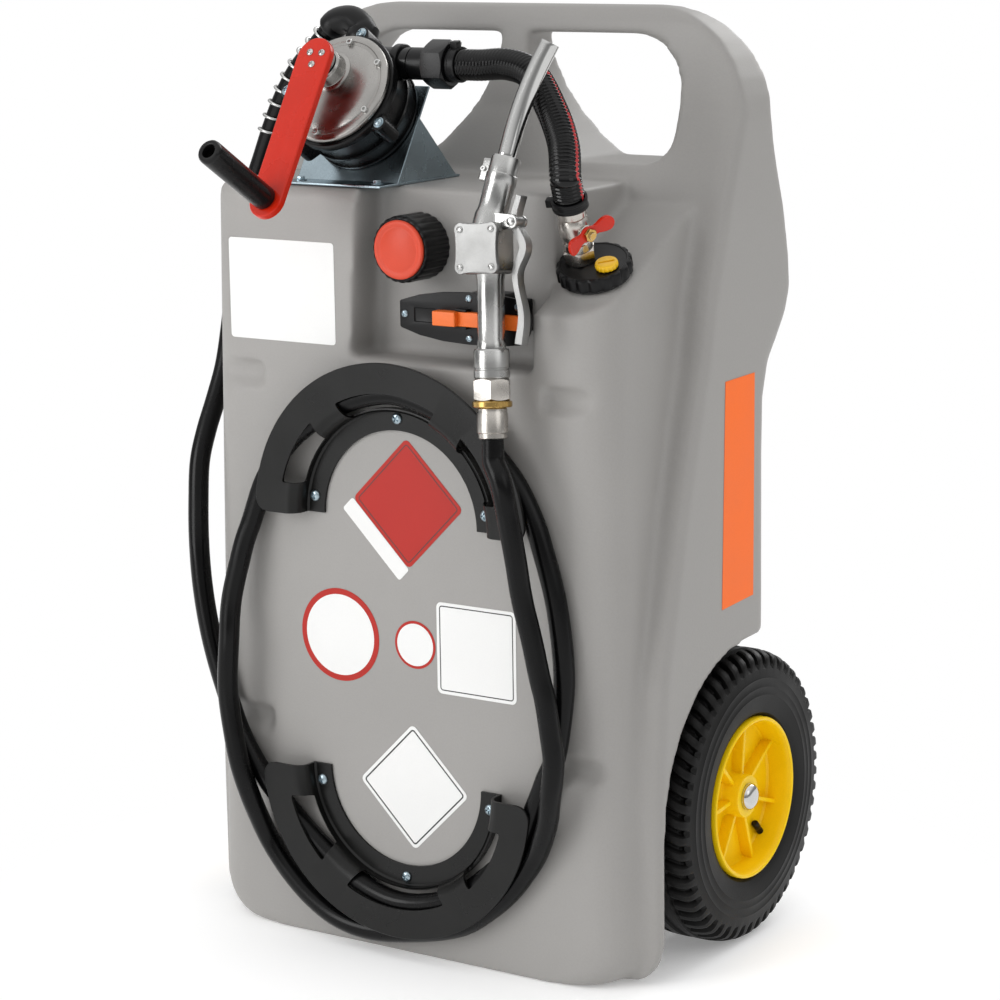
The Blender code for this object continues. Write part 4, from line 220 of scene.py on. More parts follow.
def finish(name, slot, colour, roughness, metallic, vary, clouds, relief, grain=700, spread=0.08, coat=0,
           scratches=0, distance=0.4, shine=0.5):
    """A material: vary is how far its colour strays; clouds and grain are its large and fine scales."""
    made = bpy.data.materials.new(name)
    made.use_nodes = True
    made["slot"] = slot
    tree = made.node_tree
    shader = tree.nodes["Principled BSDF"]
    set_inputs(shader, {"Metallic": metallic, "Specular IOR Level": shine})
    if coat:
        set_inputs(shader, {"Coat Weight": coat, "Coat Roughness": 0.12})
    place = node(tree, "TexCoord")
    large = node(tree, "TexNoise", {"Scale": clouds, "Detail": 5})
    fine = node(tree, "TexNoise", {"Scale": grain, "Detail": 3})
    dark, light = ([min(1, c * (1 + stray)) for c in colour] for stray in (-vary, vary))
    tint = ramp(tree, (0.3, dark), (0.7, light))
    grey = ramp(tree, (0.35, (0.72, 0.72, 0.72)), (0.6, (1, 1, 1)))
    speck = node(tree, "Mix", {"Factor": min(1, vary * 2.5)}, data_type="RGBA", blend_type="MULTIPLY")
    gloss = node(tree, "MapRange", {"From Min": 0.3, "From Max": 0.7, "To Min": max(0.03, roughness - spread),
                                    "To Max": min(1, roughness + spread)})
    bump = node(tree, "Bump", {"Strength": relief, "Distance": distance * MM})
    source = fine
    if scratches:
        stretch = node(tree, "Mapping", {"Scale": (1, 1, scratches)})
        source = node(tree, "TexNoise", {"Scale": grain * 1.4})
        wire(tree, (place, "Object", stretch, "Vector"), (stretch, "Vector", source, "Vector"))
    wire(tree, (place, "Object", large, "Vector"), (place, "Object", fine, "Vector"),
         (large, "Fac", tint, "Fac"), (fine, "Fac", grey, "Fac"), (tint, "Color", speck, "A"),
         (grey, "Color", speck, "B"), (speck, "Result", shader, "Base Color"), (large, "Fac", gloss, "Value"),
         (gloss, "Result", shader, "Roughness"), (source, "Fac", bump, "Height"),
         (bump, "Normal", shader, "Normal"))
    return made


TANK = finish("tank_plastic", "grey_moulded_plastic", (0.318, 0.308, 0.296), 0.5, 0, 0.035, 5, 0.22,
              grain=420, distance=0.6)
SATIN = finish("satin_black", "black_plastic", (0.0055, 0.0055, 0.0052), 0.31, 0, 0.25, 14, 0.15, shine=0.3)
BLACK = finish("moulded_black", "black_plastic", (0.005, 0.005, 0.0055), 0.36, 0, 0.25, 20, 0.2, shine=0.24)
GLOSSY = finish("glossy_black", "black_plastic", (0.004, 0.004, 0.0044), 0.24, 0, 0.25, 25, 0.06, shine=0.3)
RED = finish("red_paint", "red_paint", (0.58, 0.019, 0.005), 0.3, 0, 0.06, 18, 0.07, coat=0.05, shine=0.3)
DISC = finish("red_disc", "red_plastic", (0.64, 0.06, 0.024), 0.42, 0, 0.05, 22, 0.15, shine=0.35)
CHROME = finish("polished_chrome", "chromed_steel", (0.62, 0.62, 0.61), 0.14, 1, 0.06, 9, 0.015, spread=0.06)
ZINC = finish("blue_zinc", "zinc_plate", (0.4, 0.49, 0.54), 0.3, 1, 0.14, 16, 0.08, spread=0.1)
CAST = finish("cast_metal", "cast_aluminium", (0.5, 0.5, 0.49), 0.27, 1, 0.1, 30, 0.2, grain=900)
DULL = finish("dull_cast_metal", "cast_aluminium", (0.32, 0.32, 0.315), 0.42, 1, 0.1, 30, 0.3, grain=900)
LID = finish("lid_metal", "chromed_steel", (0.37, 0.36, 0.345), 0.26, 1, 0.08, 40, 0.03)
BRIGHT = finish("bright_metal", "bright_steel", (0.58, 0.58, 0.57), 0.2, 1, 0.08, 25, 0.05, scratches=0.06)
NICKEL = finish("nickel", "nickel_plate", (0.58, 0.55, 0.51), 0.26, 1, 0.1, 30, 0.06)
BRASS = finish("brass", "brass", (0.62, 0.4, 0.13), 0.25, 1, 0.1, 30, 0.06)
RUBBER = finish("tyre_rubber", "tyre_rubber", (0.0034, 0.0032, 0.0031), 0.46, 0, 0.25, 12, 0.3, shine=0.2)
HOSE = finish("hose_rubber", "black_rubber", (0.0024, 0.0024, 0.0026), 0.27, 0, 0.25, 16, 0.1, grain=500,
              shine=0.2)
RIBBED = finish("ribbed_hose", "black_rubber", (0.0018, 0.0018, 0.002), 0.1, 0, 0.25, 20, 0.05, shine=0.34)
STRIPE = finish("hose_stripe", "red_plastic", (0.48, 0.018, 0.022), 0.35, 0, 0.1, 40, 0.05)
YELLOW = finish("yellow_plastic", "yellow_plastic", (0.93, 0.61, 0.002), 0.34, 0, 0.06, 15, 0.12, shine=0.22)
LEMON = finish("yellow_cap", "yellow_plastic", (0.88, 0.52, 0.008), 0.35, 0, 0.05, 40, 0.1)
ORANGE = finish("orange_plastic", "orange_plastic", (0.8, 0.145, 0.01), 0.38, 0, 0.06, 25, 0.15)
SEAL = finish("seal_rubber", "seal_rubber", (0.03, 0.03, 0.03), 0.7, 0, 0.15, 9, 0.25)
WHITE = finish("sticker_white", "sticker_white", (0.8, 0.8, 0.79), 0.4, 0, 0.02, 9, 0.04)
INK = finish("sticker_black", "sticker_black", (0.03, 0.03, 0.03), 0.4, 0, 0.1, 9, 0.04)
SIGNAL = finish("sticker_red", "sticker_red", (0.43, 0.015, 0.008), 0.36, 0, 0.04, 9, 0.04, shine=0.35)
AMBER = finish("sticker_orange", "sticker_orange", (0.95, 0.15, 0.002), 0.36, 0, 0.04, 9, 0.04, shine=0.25)


# Pieces: outlines and profiles are in millimetres, the meshes made from them in metres

def dressed(made, covers, body):
    """The piece riding on its body, in place of its CAD node."""
    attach(made, body)
    if covers:
        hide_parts(covers)
    return made


def put(name, mesh, material, covers=None, body="caddy", angle=35):
    """A finished piece, smooth but for edges sharper than the angle."""
    made = added(name, mesh)
    for one in material if isinstance(material, tuple) else (material,):
        mesh.materials.append(one)
    if angle:
        mesh.shade_smooth()
        mesh.set_sharp_from_angle(angle=radians(angle))
    return dressed(made, covers, body)


def mesh_of(bm, matrix=None):
    bmesh.ops.recalc_face_normals(bm, faces=bm.faces)
    mesh = bpy.data.meshes.new("piece")
    bm.to_mesh(mesh)
    bm.free()
    if matrix is not None:
        mesh.transform(matrix)
    return mesh


def skin(rings, matrix=None, closed=False, capped=False, marked=None, unit=MM):
    """A mesh over rings of points, each joined to the next; marked faces take the second material."""
    bm = bmesh.new()
    rows = [[bm.verts.new([c * unit for c in point]) for point in ring] for ring in rings]
    if capped:
        bm.faces.new(rows[0])
        bm.faces.new(reversed(rows[-1]))
    for index, (low, high) in enumerate(zip(rows, rows[1:] + rows[:1] if closed else rows[1:])):
        count = max(len(low), len(high))
        for step in range(count):
            after = (step + 1) % count
            places = ((low, step), (low, after), (high, after), (high, step))
            corners = list(dict.fromkeys(row[place % len(row)] for row, place in places))
            if len(corners) < 3:
                continue
            face = bm.faces.new(corners)
            if marked and marked(index, step):
                face.material_index = 1
    return mesh_of(bm, matrix)


def lathe(profile, matrix=None, steps=72, lobes=0, depth=0.0, lobe_from=0.0, closed=False):
    """A turned shape from radius and height pairs; lobes press flutes into the rim."""
    rings = []
    for radius, z in profile:
        ring = []
        for step in range(steps if radius else 1):
            angle = tau * step / steps
            r = radius
            if lobes and radius >= lobe_from:
                r -= depth * (0.5 - 0.5 * cos(angle * lobes)) ** 2
            ring.append((r * cos(angle), r * sin(angle), z))
        rings.append(ring)
    return skin(rings, matrix, closed)


def mirrored(profile, ends):
    """A profile and its mirror image; ends is the sum of its two end heights."""
    return profile + [(radius, ends - z) for radius, z in reversed(profile)]


def pin_mesh(radius, start, end, matrix=None, steps=32):
    return lathe([(0, start), (radius, start), (radius, end), (0, end)], matrix, steps)


def prism(outline, start, end, matrix=None):
    return skin([[(x, y, z) for x, y in outline] for z in (start, end)], matrix, capped=True)


def block(x_range, y_range, z_range, matrix=None):
    (left, right), (low, high) = x_range, y_range
    return prism([(left, low), (right, low), (right, high), (left, high)], *z_range, matrix)


def sweep(points, radii, sides=24, marked=None):
    """A closed tube along a path; a radius may change with the angle."""
    rings = []
    for place, (side, up), radius in zip(points, frames_along(points), radii):
        ring = []
        for step in range(sides):
            angle = tau * step / sides
            r = (radius(angle) if callable(radius) else radius) * MM
            ring.append(place + (side * cos(angle) + up * sin(angle)) * r)
        rings.append(ring)
    return skin(rings, capped=True, marked=marked, unit=1)


def arc(x, y, radius, start, end, steps=10):
    found = []
    for k in range(steps + 1):
        angle = radians(start + (end - start) * k / steps)
        found.append((x + radius * cos(angle), y + radius * sin(angle)))
    return found


def rounded(left, right, low, high, corner):
    """A rectangle's outline with round corners."""
    found = arc(right - corner, low + corner, corner, 270, 360, 5)
    found += arc(right - corner, high - corner, corner, 0, 90, 5)
    found += arc(left + corner, high - corner, corner, 90, 180, 5)
    return found + arc(left + corner, low + corner, corner, 180, 270, 5)


def hexagon(half_flat):
    radius = half_flat / cos(pi / 6)
    return [(radius * cos(k * pi / 3), radius * sin(k * pi / 3)) for k in range(6)]


def merged(*meshes):
    bm = bmesh.new()
    for mesh in meshes:
        bm.from_mesh(mesh)
    made = bpy.data.meshes.new("piece")
    bm.to_mesh(made)
    bm.free()
    return made


def applied(mesh, *changes):
    """The mesh with modifiers carried out: each change is a kind and its settings."""
    made = added("work", mesh)
    helpers = []
    for kind, settings in changes:
        modifier = made.modifiers.new("change", kind)
        for key, value in settings.items():
            if isinstance(value, bpy.types.Mesh):
                value = added("helper", value)
                helpers.append(value)
            setattr(modifier, key, value)
    bpy.context.view_layer.update()
    result = bpy.data.meshes.new_from_object(made.evaluated_get(bpy.context.evaluated_depsgraph_get()))
    for old in [made, *helpers]:
        bpy.data.objects.remove(old, do_unlink=True)
    return result


def bevelled(mesh, width, segments=3, angle=35):
    return applied(mesh, ("BEVEL", {"width": width * MM, "segments": segments, "limit_method": "ANGLE",
                                    "angle_limit": radians(angle), "profile": 0.6}))


def boolean(operation, tool):
    return "BOOLEAN", {"operation": operation, "solver": "EXACT", "object": tool}


def cut(mesh, *tools):
    return applied(mesh, *[boolean("DIFFERENCE", tool) for tool in tools])


def node_mesh(name, flat_within=0):
    """A welded copy of a CAD node's mesh; faces that bend by less than the angle become one."""
    bm = bmesh.new()
    bm.from_mesh(nodes[name].data)
    bmesh.ops.remove_doubles(bm, verts=bm.verts, dist=WELD)
    if flat_within:
        bmesh.ops.dissolve_limit(bm, angle_limit=radians(flat_within), verts=bm.verts, edges=bm.edges)
    return mesh_of(bm)


def screw(radius, height, shares, recess, recess_from):
    """A head seated at zero, its side from shares of its radius and height, with a recess in its top."""
    head = lathe([(0, 0), *((radius * a, height * b) for a, b in shares), (0, height)], steps=28)
    return cut(head, prism(recess, height * recess_from, height * 2))


def cross_screw(radius, height):
    arm = radius * 0.62
    thin = radius * 0.15
    quarter = [(-arm, -thin), (-thin, -thin), (-thin, -arm)]
    cross = []
    for _ in range(4):
        cross += quarter
        quarter = [(-y, x) for x, y in quarter]
    return screw(radius, height, ((1, 0), (1, 0.3), (0.86, 0.68), (0.6, 0.9), (0.3, 1)), cross, 0.35)


def socket_screw(radius, height):
    return screw(radius, height, ((1, 0), (1, 0.85), (0.9, 1)), hexagon(radius * 0.5), 0.4)


def washer_screw(radius, height):
    """A round washer under a cross screw."""
    head = cross_screw(radius * 0.86, height * 0.8)
    head.transform(shift(0, 0, height * 0.2))
    return merged(pin_mesh(radius * 1.08, 0, height * 0.22), head)


def hex_bolt(radius, height):
    base = pin_mesh(radius * 1.35, 0, height * 0.22, steps=28)
    return merged(base, bevelled(prism(hexagon(radius * 0.86), height * 0.2, height), radius * 0.08, 2))


def chamfered_nut(half, low, high, matrix, bore=0):
    """A hexagon with its corners turned off at both ends."""
    rim = half / cos(pi / 6)
    slope = (rim - half) * 0.7
    turnings = mirrored([(0, low), (half * 0.98, low), (rim * 1.001, low + slope)], low + high)
    nut = applied(prism(hexagon(half), low, high), boolean("INTERSECT", lathe(turnings, steps=72)))
    if bore:
        nut = cut(nut, pin_mesh(bore, low - 10, high + 10, None, 48))
    nut = bevelled(nut, half * 0.02, 2, 25)
    nut.transform(matrix)
    return nut


def copies(name, mesh, places, material, covers=(), body="caddy"):
    for index, place in enumerate(places):
        one = mesh.copy()
        one.transform(place)
        put(f"{name}_{index + 1}", one, material, covers[index] if covers else None, body)


# Delivery hose, on the route of its CAD node

HOSE_R = 11.4
ELBOW_R = 14
ON_PANEL = -11.8
out_place = PUMP @ spot(-14, 70, -26)
out_way = (PUMP.to_3x3() @ Vector((0, 1, 0))).normalized()
bend = [out_place + out_way * SEAM, out_place + out_way * (ELBOW_R * MM)]
for out_share, x_share, y_share, z_share in (
        (1.6, -0.9, 0, 0.3), (1.75, -2.1, 0, 0.2), (1.75, -2.9, 0.1, 0.05), (1.75, -3.5, 0.15, -0.5)):
    bend.append(out_place + out_way * (ELBOW_R * out_share * MM)
                + spot(ELBOW_R * x_share, ELBOW_R * y_share, ELBOW_R * z_share))
bend = straight_ended(bend, ELBOW_R * 0.8)
leaving = (bend[-1] - bend[-2]).normalized()
hose_start = bend[-1] + leaving * SEAM
# Places with two lengths lie on the panel, at the depth of ON_PANEL
ROUTE = [
    # Down the tank's left side
    (-199.6, 108, 949), (-222.8, 110, 917.5), (-241, 111, 883.5), (-255.9, 111, 849.2), (-272.1, 111, 811.8),
    (-284.9, 110, 772), (-292.1, 104, 723.8), (-293.6, 93, 666.1), (-290.7, 75, 617.6), (-292.3, 58, 580.1),
    (-293.8, 42, 548.3), (-293.2, 28, 516.5), (-286.8, 15, 473.8), (-278.3, 3, 431.3), (-270.3, -4, 387.9),
    (-259.6, -9, 344.4),
    # Once round the two holders, on the panel
    (-247.7, 306.4), (-232.5, 262.4), (-217.1, 224.2), (-196, 190.3), (-170.5, 161.9), (-116.8, 115.1),
    (-57.9, 75.5), (0, 61.2), (69.5, 79), (109.5, 108), (148, 146.8), (176.5, 205.2), (186.1, 228.5),
    (196.9, 251.7), (204, 285.1), (209.4, 328.6), (209.6, 349.9), (206.9, 381.4), (200.2, 422.8),
    (188.5, 463.6), (173.9, 504), (150.1, 543.5), (113.4, 578.5), (70, 603), (0, 620.8), (-70, 603),
    (-113.4, 577.1), (-145, 549.6), (-171.4, 512.4),
    # Down again in front of the first round
    (-187.7, -16, 467.1), (-195.1, -20, 444.7), (-199.8, -24, 422.6), (-208.6, -30, 377.8),
    (-209.2, -36, 333.8), (-212.1, -37, 276.8), (-204.2, -37.5, 220.9), (-200, -36.8, 198.4),
    (-194.6, -34.5, 175.8), (-189.6, -29, 152.1), (-185.2, -20.5, 127.7), (-178.5, -14, 105.5),
    # Round the lower holder's foot
    (-164.2, 84), (-144.7, 64), (-120.5, 45), (-88.1, 28.8), (-47.5, 22.3), (8.7, 29.2), (77.2, 48.6),
    (113.6, 73.2), (140.6, 98.1), (158.6, 121.1),
    # Up to the nozzle
    (173.7, -13.5, 142.9), (186.1, -19, 165.2), (197.1, -26, 190.6), (204.2, -33, 215.3),
    (209.8, -36.5, 238.6), (211.6, -37, 260.4), (209.1, -37.5, 281.5), (203.3, -39, 323.6),
    (198.2, -40, 344.3), (190.4, -43, 386.2), (182, -47, 428), (177.3, -51, 470.1), (171.2, -54.5, 511.7),
    (163.8, -57, 552.7),
]
along = [spot(place[0], place[1] if place[2:] else ON_PANEL, place[-1]) for place in ROUTE]
route = [hose_start, hose_start + leaving * (HOSE_R * 2 * MM), *along, NOZZLE @ spot(0, 0, -HOSE_R * 2),
         NOZZLE @ spot(0, 0, -0.3)]
hose_points = straight_ended(route, 6)
curve = bpy.data.curves.new("delivery_hose_fine", "CURVE")
curve.dimensions = "3D"
curve.bevel_depth = HOSE_R * MM
curve.bevel_resolution = 8
curve.use_fill_caps = True
spline = curve.splines.new("POLY")
spline.points.add(len(hose_points) - 1)
for knot, place in zip(spline.points, hose_points):
    knot.co = (*place, 1)
spline.use_smooth = True
curve.materials.append(HOSE)
hose = dressed(added("delivery_hose_fine", curve), "delivery_hose", "caddy")

# Tank: the outer skin of the CAD tank, with the soft edges of a moulding

HOLDERS = (("upper", 482, 1), ("lower", 199.7, -1))


def holder_screws(centre_z, way):
    low = centre_z + 18.2 * way
    return [(-110, low), (0, centre_z + 111.5 * way), (110, low)]


def largest_island(bm):
    """The largest set of joined vertices."""
    left = set(bm.verts)
    largest = set()
    while left:
        edge = [left.pop()]
        group = set(edge)
        while edge:
            here = edge.pop()
            for link in here.link_edges:
                other = link.other_vert(here)
                if other in left:
                    left.discard(other)
                    group.add(other)
                    edge.append(other)
        largest = max(largest, group, key=len)
    return largest


def moulded_tank():
    plugs = [node_mesh("tank"), pin_mesh(26.2, -12, 24.4, CAP), pin_mesh(29.2, -28, -0.4, PORT)]
    for _, centre_z, way in HOLDERS:
        plugs += [pin_mesh(3.4, -6, -0.1, around(x, 0, z), 12) for x, z in holder_screws(centre_z, way)]
    softened = applied(merged(*plugs), ("REMESH", {"mode": "VOXEL", "voxel_size": 4.2 * MM}),
                       ("SMOOTH", {"factor": 0.5, "iterations": 9}))
    bm = bmesh.new()
    bm.from_mesh(softened)
    keep = largest_island(bm)
    bmesh.ops.delete(bm, geom=[v for v in bm.verts if v not in keep], context="VERTS")
    return mesh_of(bm)


put("tank_skin", moulded_tank(), TANK, "tank", angle=None).data.shade_smooth()

# Hose holders: filleted half rings with kidney slots

WALL_R = 123
RIM_R = 173.5
LIP = 24.3
FILLET = 12
SHEET = 3
CORNER = 16
SLOT_TURNS = ((13, 48), (62, 118), (132, 167))
HOLD_TURNS = [0, 0.6, 1.3, 2.2, 3.4, 4.8] + [6.5 + 167 * k / 56 for k in range(57)]
HOLD_TURNS += [180 - a for a in (4.8, 3.4, 2.2, 1.3, 0.6, 0)]


def holder_mesh(centre_z, way):
    def fillet(radius):
        return [(WALL_R + FILLET - x, -y)
                for x, y in arc(0, LIP - FILLET, radius, 0, 90, 6)]

    section = [(98.5, -0.3), (WALL_R, -0.3), *fillet(FILLET)]
    section += [(RIM_R, -LIP), (RIM_R, -26.8), (172.8, -27.3)]
    section += [*reversed(fillet(FILLET + SHEET)), (120, -5.3), (118, -3.3), (98.5, -3.3)]
    rings = []
    for turn_by in HOLD_TURNS:
        from_end = radians(min(turn_by, 180 - turn_by)) * RIM_R
        less = 0.0
        if from_end < CORNER:
            less = CORNER - sqrt(CORNER ** 2 - (CORNER - from_end) ** 2)
        angle = radians(turn_by)
        ring = []
        for r, y in section:
            radius = r - less if r > 160 else r
            ring.append((radius * cos(angle), y, centre_z + radius * sin(angle) * way))
        rings.append(ring)
    tools = []
    for start, end in SLOT_TURNS:
        points = arc(0, 0, 119.7, start + 3.2, end - 3.2, 12) + arc(0, 0, 141, end - 1, start + 1, 12)
        points = [(x, centre_z + z * way) for x, z in points]
        tools.append(bevelled(prism(points, 10, 45, turned(90, "X")), 4, 4, 50))
    for x, z in holder_screws(centre_z, way):
        tools.append(pin_mesh(2.8, -2, 10, around(x, 0, z), 20))
    return bevelled(cut(skin(rings, capped=True), *tools), 0.6, 2, 40)


for word, centre_z, way in HOLDERS:
    put(f"holder_{word}_fine", holder_mesh(centre_z, way), SATIN, f"hose_holder_{word}")
    heads = [around(x, 0, z) @ shift(0, 0, 3.4) @ turned(20 + 37 * k, "Z")
             for k, (x, z) in enumerate(holder_screws(centre_z, way))]
    ends = [f"holder_screw_{word}_{e}" for e in ("left", "middle", "right")]
    copies(f"holder_{word}_screw", cross_screw(6.2, 3.4), heads, ZINC, ends)

# Filler cap

cap_profile = [(0, 27.8), (28.1, 27.8), (28.1, 0.6), (34.5, 0.6), (35.5, 2), (35.5, 39), (34.9, 41.4),
               (33.5, 42.8), (32.2, 43), (31.8, 42.4), (0, 42.4)]
put("filler_cap", lathe(cap_profile, CAP, 240, 24, 0.9, 33), BLACK, "fill_cap", "filler")
disc_profile = [(0, 42.8), (31, 42.8), (31, 44.9), (30.2, 45.9), (29.2, 46.3), (25.5, 46.3), (24.8, 45.9),
                (22.6, 45.9), (21.9, 46.3), (0, 46.3)]
put("filler_disc", lathe(disc_profile, CAP, 96), DISC, "fill_cap_disc", "filler")

# Pump

EAR_TURNS = (88, -29, 180, 239)
EAR_REACH = 70
LID_SCREW_TURNS = (34, 90, 146, 214, 264, -28)
house = [(0, -60), (56, -60), (60, -58.5), (61.5, -56), (61.5, -13.5), (62.5, -11.5), (65.5, -10.5),
         (66.5, -9.5), (66.5, -1.2), (65.8, 0), (46, 0), (46, -40), (0, -40)]
shaft_hole = pin_mesh(8.4, -54.5, 40, CRANK)
house_parts = [
    cut(lathe(house, PUMP, 96), shaft_hole),
    cut(pin_mesh(17, 0, 64, PUMP_INLET, 48), pin_mesh(61.5, -58, -2, PUMP, 96)),
    pin_mesh(17, 52, 70, PUMP_OUTLET, 48),
    lathe(mirrored([(16, 44), (19.5, 44), (20.5, 45)], 97), PUMP_INLET, 48, closed=True),
]
for degrees in EAR_TURNS:
    lobe = [(50, -12.5), (50, 12.5), (64, 10.5), *arc(EAR_REACH, 0, 8.2, 70, -70, 14), (64, -10.5)]
    house_parts.append(bevelled(prism(lobe, -33, -3.5, PUMP @ turned(degrees, "Z")), 1.2, 3))
for low, high, out_r in ((-39, -36, 63.2), (-58.5, -55.5, 62.8)):
    house_parts.append(lathe([(55, low), (out_r, low), (out_r, high), (55, high)], PUMP, 96, closed=True))
put("pump_shell", merged(*house_parts), GLOSSY, "pump_housing")
ear_bolts = [PUMP @ turned(d, "Z") @ shift(EAR_REACH + 0.2, 0, -3.6) for d in EAR_TURNS]
copies("pump_ear_bolt", washer_screw(5.6, 4), ear_bolts, ZINC)
lid = [(0, 0.3), (61.5, 0.3), (62.5, 1.2), (62.5, 5), (61.8, 6.2), (60.5, 6.8), (55.5, 6.8), (54.5, 6),
       (51.2, 6), (50, 6.9), (38, 7.4), (0, 7.4)]
put("pump_lid", cut(lathe(lid, PUMP, 120), shaft_hole), LID, "pump_cover")
boss = [(8.5, 6.6), (23.5, 6.6), (23.5, 8), (22.2, 9.2), (19.6, 9.8), (19, 11), (19, 22.5), (18.4, 23.6),
        (17.2, 24.4), (16.8, 25.2), (8.5, 25.2)]
put("shaft_boss", lathe(boss, CRANK, 72, closed=True), LID)
lid_screws = [PUMP @ turned(d, "Z") @ shift(53.5, 0, 6.2) for d in LID_SCREW_TURNS]
copies("pump_lid_screw", socket_screw(3.6, 3.8), lid_screws, BRIGHT)
spindle = [(0, -53.5), (8, -53.5), (8, 27.7), (16.6, 27.7), (17, 28.1), (17, 34.3), (16.6, 34.7), (0, 34.7)]
put("spindle", lathe(spindle, CRANK, 64), BRIGHT, "pump_shaft", "crank")

# Crank and grip

ARM_TOP = 44
arm_outline = arc(0, 0, 21, 0, 180, 28) + arc(0, -CRANK_REACH, 20, 180, 360, 28)
arm = cut(prism(arm_outline, 35, ARM_TOP), pin_mesh(5.7, 30, 50, shift(0, -CRANK_REACH, 0)))
put("crank_plate", bevelled(arm, 2.4, 3, 40), RED, "crank_arm", "crank").data.transform(CRANK)
crank_screws = [CRANK @ shift(x, y, ARM_TOP) @ turned(35 * k, "Z")
                for k, (x, y) in enumerate(((-5, 3), (10.2, 2.8), (2, -11)))]
copies("crank_screw", cross_screw(4, 2.2), crank_screws, BRIGHT, body="crank")
grip = [(6, 44.6), (11.8, 44.6), (12.8, 45.6), (13, 47.6), (13.4, 147), (13, 149.8), (11.8, 151.4),
        (10.2, 151.6), (7.8, 151), (7.2, 150), (7.2, 134), (6, 134)]
put("grip_sleeve", lathe(grip, GRIP, 64, closed=True), GLOSSY, "crank_grip", "grip")
pin = [(0, 31.7), (8, 31.7), (8.5, 32.2), (8.5, 34.7), (5.4, 34.7), (5.4, 134.3), (6.8, 134.3), (6.8, 135.6),
       (6, 136.4), (0, 136.4)]
put("grip_pin", lathe(pin, GRIP, 48), BRIGHT, "crank_pin", "crank")

# Pump bracket with its bolts

put("pump_bracket_fine", bevelled(node_mesh("pump_bracket", 1), 0.7, 2, 30), ZINC, "pump_bracket")
bracket_bolts = [shift(x, y, 835.9) for y in (26, 146) for x in (-140, -40)]
copies("bracket_bolt", hex_bolt(4.8, 4.2), bracket_bolts, ZINC)

# Outlet elbow and spring guard

COIL_TURNS = 9
COIL_STEPS = 24
COIL_R = 13.7
COIL_START = 6
COIL_LENGTH = 154
elbow_line = straight_ended([bend[0], *bend[1:-1:2], bend[-1]], 3)
elbow_walk = [walked / MM for walked in lengths_along(elbow_line)]
elbow_radii = []
# A wide collar at the pump, a lower one at the far end, and rounded rims
for walked in elbow_walk:
    left = elbow_walk[-1] - walked
    wide = 15.8 if left < 11 else 17.2 if walked < 14 else 15.2
    elbow_radii.append(wide - max(0.0, 1.8 - min(walked, left)))
put("outlet_bend", sweep(elbow_line, elbow_radii, 40), BLACK, "outlet_elbow")
hose_walk = lengths_along(hose_points)
hose_frames = frames_along(hose_points)
coil = []
for step in range(COIL_TURNS * COIL_STEPS + 1):
    index, share = locate(hose_walk, (COIL_START + COIL_LENGTH * step / (COIL_TURNS * COIL_STEPS)) * MM)
    place = hose_points[index].lerp(hose_points[index + 1], share)
    side, up = (a.lerp(b, share).normalized() for a, b in zip(hose_frames[index], hose_frames[index + 1]))
    angle = tau * step / COIL_STEPS
    coil.append(place + (side * cos(angle) + up * sin(angle)) * (COIL_R * MM))
put("spring_wire", sweep(coil, [1.6] * len(coil), 12), BRIGHT, "spring_guard")

# Nozzle's fittings

BORE = 9
ferrule = [(BORE, 0.3), (13.2, 0.3), (14.8, 1.4), (14.8, 6), (16, 7), (16, 26), (15.2, 27.5),
           (15.2, 31), (14, 32.3), (BORE, 32.3)]
put("nozzle_ferrule", lathe(ferrule, NOZZLE, 64, closed=True), NICKEL, "hose_ferrule")
ring = mirrored([(BORE, 32.6), (19.5, 32.6), (20.5, 33.6)], 71.7)
put("nozzle_brass", lathe(ring, NOZZLE, 64, closed=True), BRASS, "brass_ring")
nut = chamfered_nut(18, 39.4, 61.4, NOZZLE, BORE)
put("nozzle_nut", nut, NICKEL, "swivel_nut")
collar = [(BORE, 61.7), (17.2, 61.7), (18.5, 63.2), (18.5, 70), (17.6, 70.8), (17.6, 72.2),
          (18.5, 73), (18.5, 89.5), (17.2, 91.7), (BORE, 91.7)]
put("nozzle_socket", lathe(collar, NOZZLE, 64, closed=True), CAST, "nozzle_collar")

# Nozzle's casting and cover plate

PIVOT_HOLE_R = 3.3
snout_place = NOZZLE.inverted() @ BENT
barrel = lathe([(0, 92), (15, 92), (15, 99), (14, 100.5), (14, 160), (15.2, 169), (0, 169)], None, 56)
chest = bevelled(block((-23, 19), (-18.5, 17), (167, CASTING_TOP)), 5.5, 5)
snout = lathe([(0, -16), (17.2, -16), (17.2, 6), (16, 10.5), (15.5, 14), (15.5, 39.5), (16.3, 40.7),
               (16.3, 49.5), (15.5, 50.5), (15.5, 66), (14.5, 68), (0, 68)], snout_place, 56)
ear_outline = [(0, CASTING_TOP - 11), *arc(LEVER_PIVOT, CASTING_TOP, 7, 270, 450, 14), (0, CASTING_TOP + 11)]
cheeks = []
for front in (-10.3, 6.3):
    cheek = prism(ear_outline, -front - 4, -front, turned(90, "X"))
    hole = pin_mesh(PIVOT_HOLE_R, -20, 20, around(LEVER_PIVOT, 0, CASTING_TOP))
    cheeks.append(bevelled(cut(cheek, hole), 0.9, 2))
lug = bevelled(block((-24.5, -12), (-6, 6), (40, 64), snout_place), 2.5, 4)
casting = merged(barrel, chest, snout, *cheeks, lug)
put("nozzle_casting", casting, CAST, "nozzle_body").data.transform(NOZZLE)
put("nozzle_lug_screw", socket_screw(2.8, 2.4), BRIGHT).data.transform(BENT @ around(-20, -6, 52))


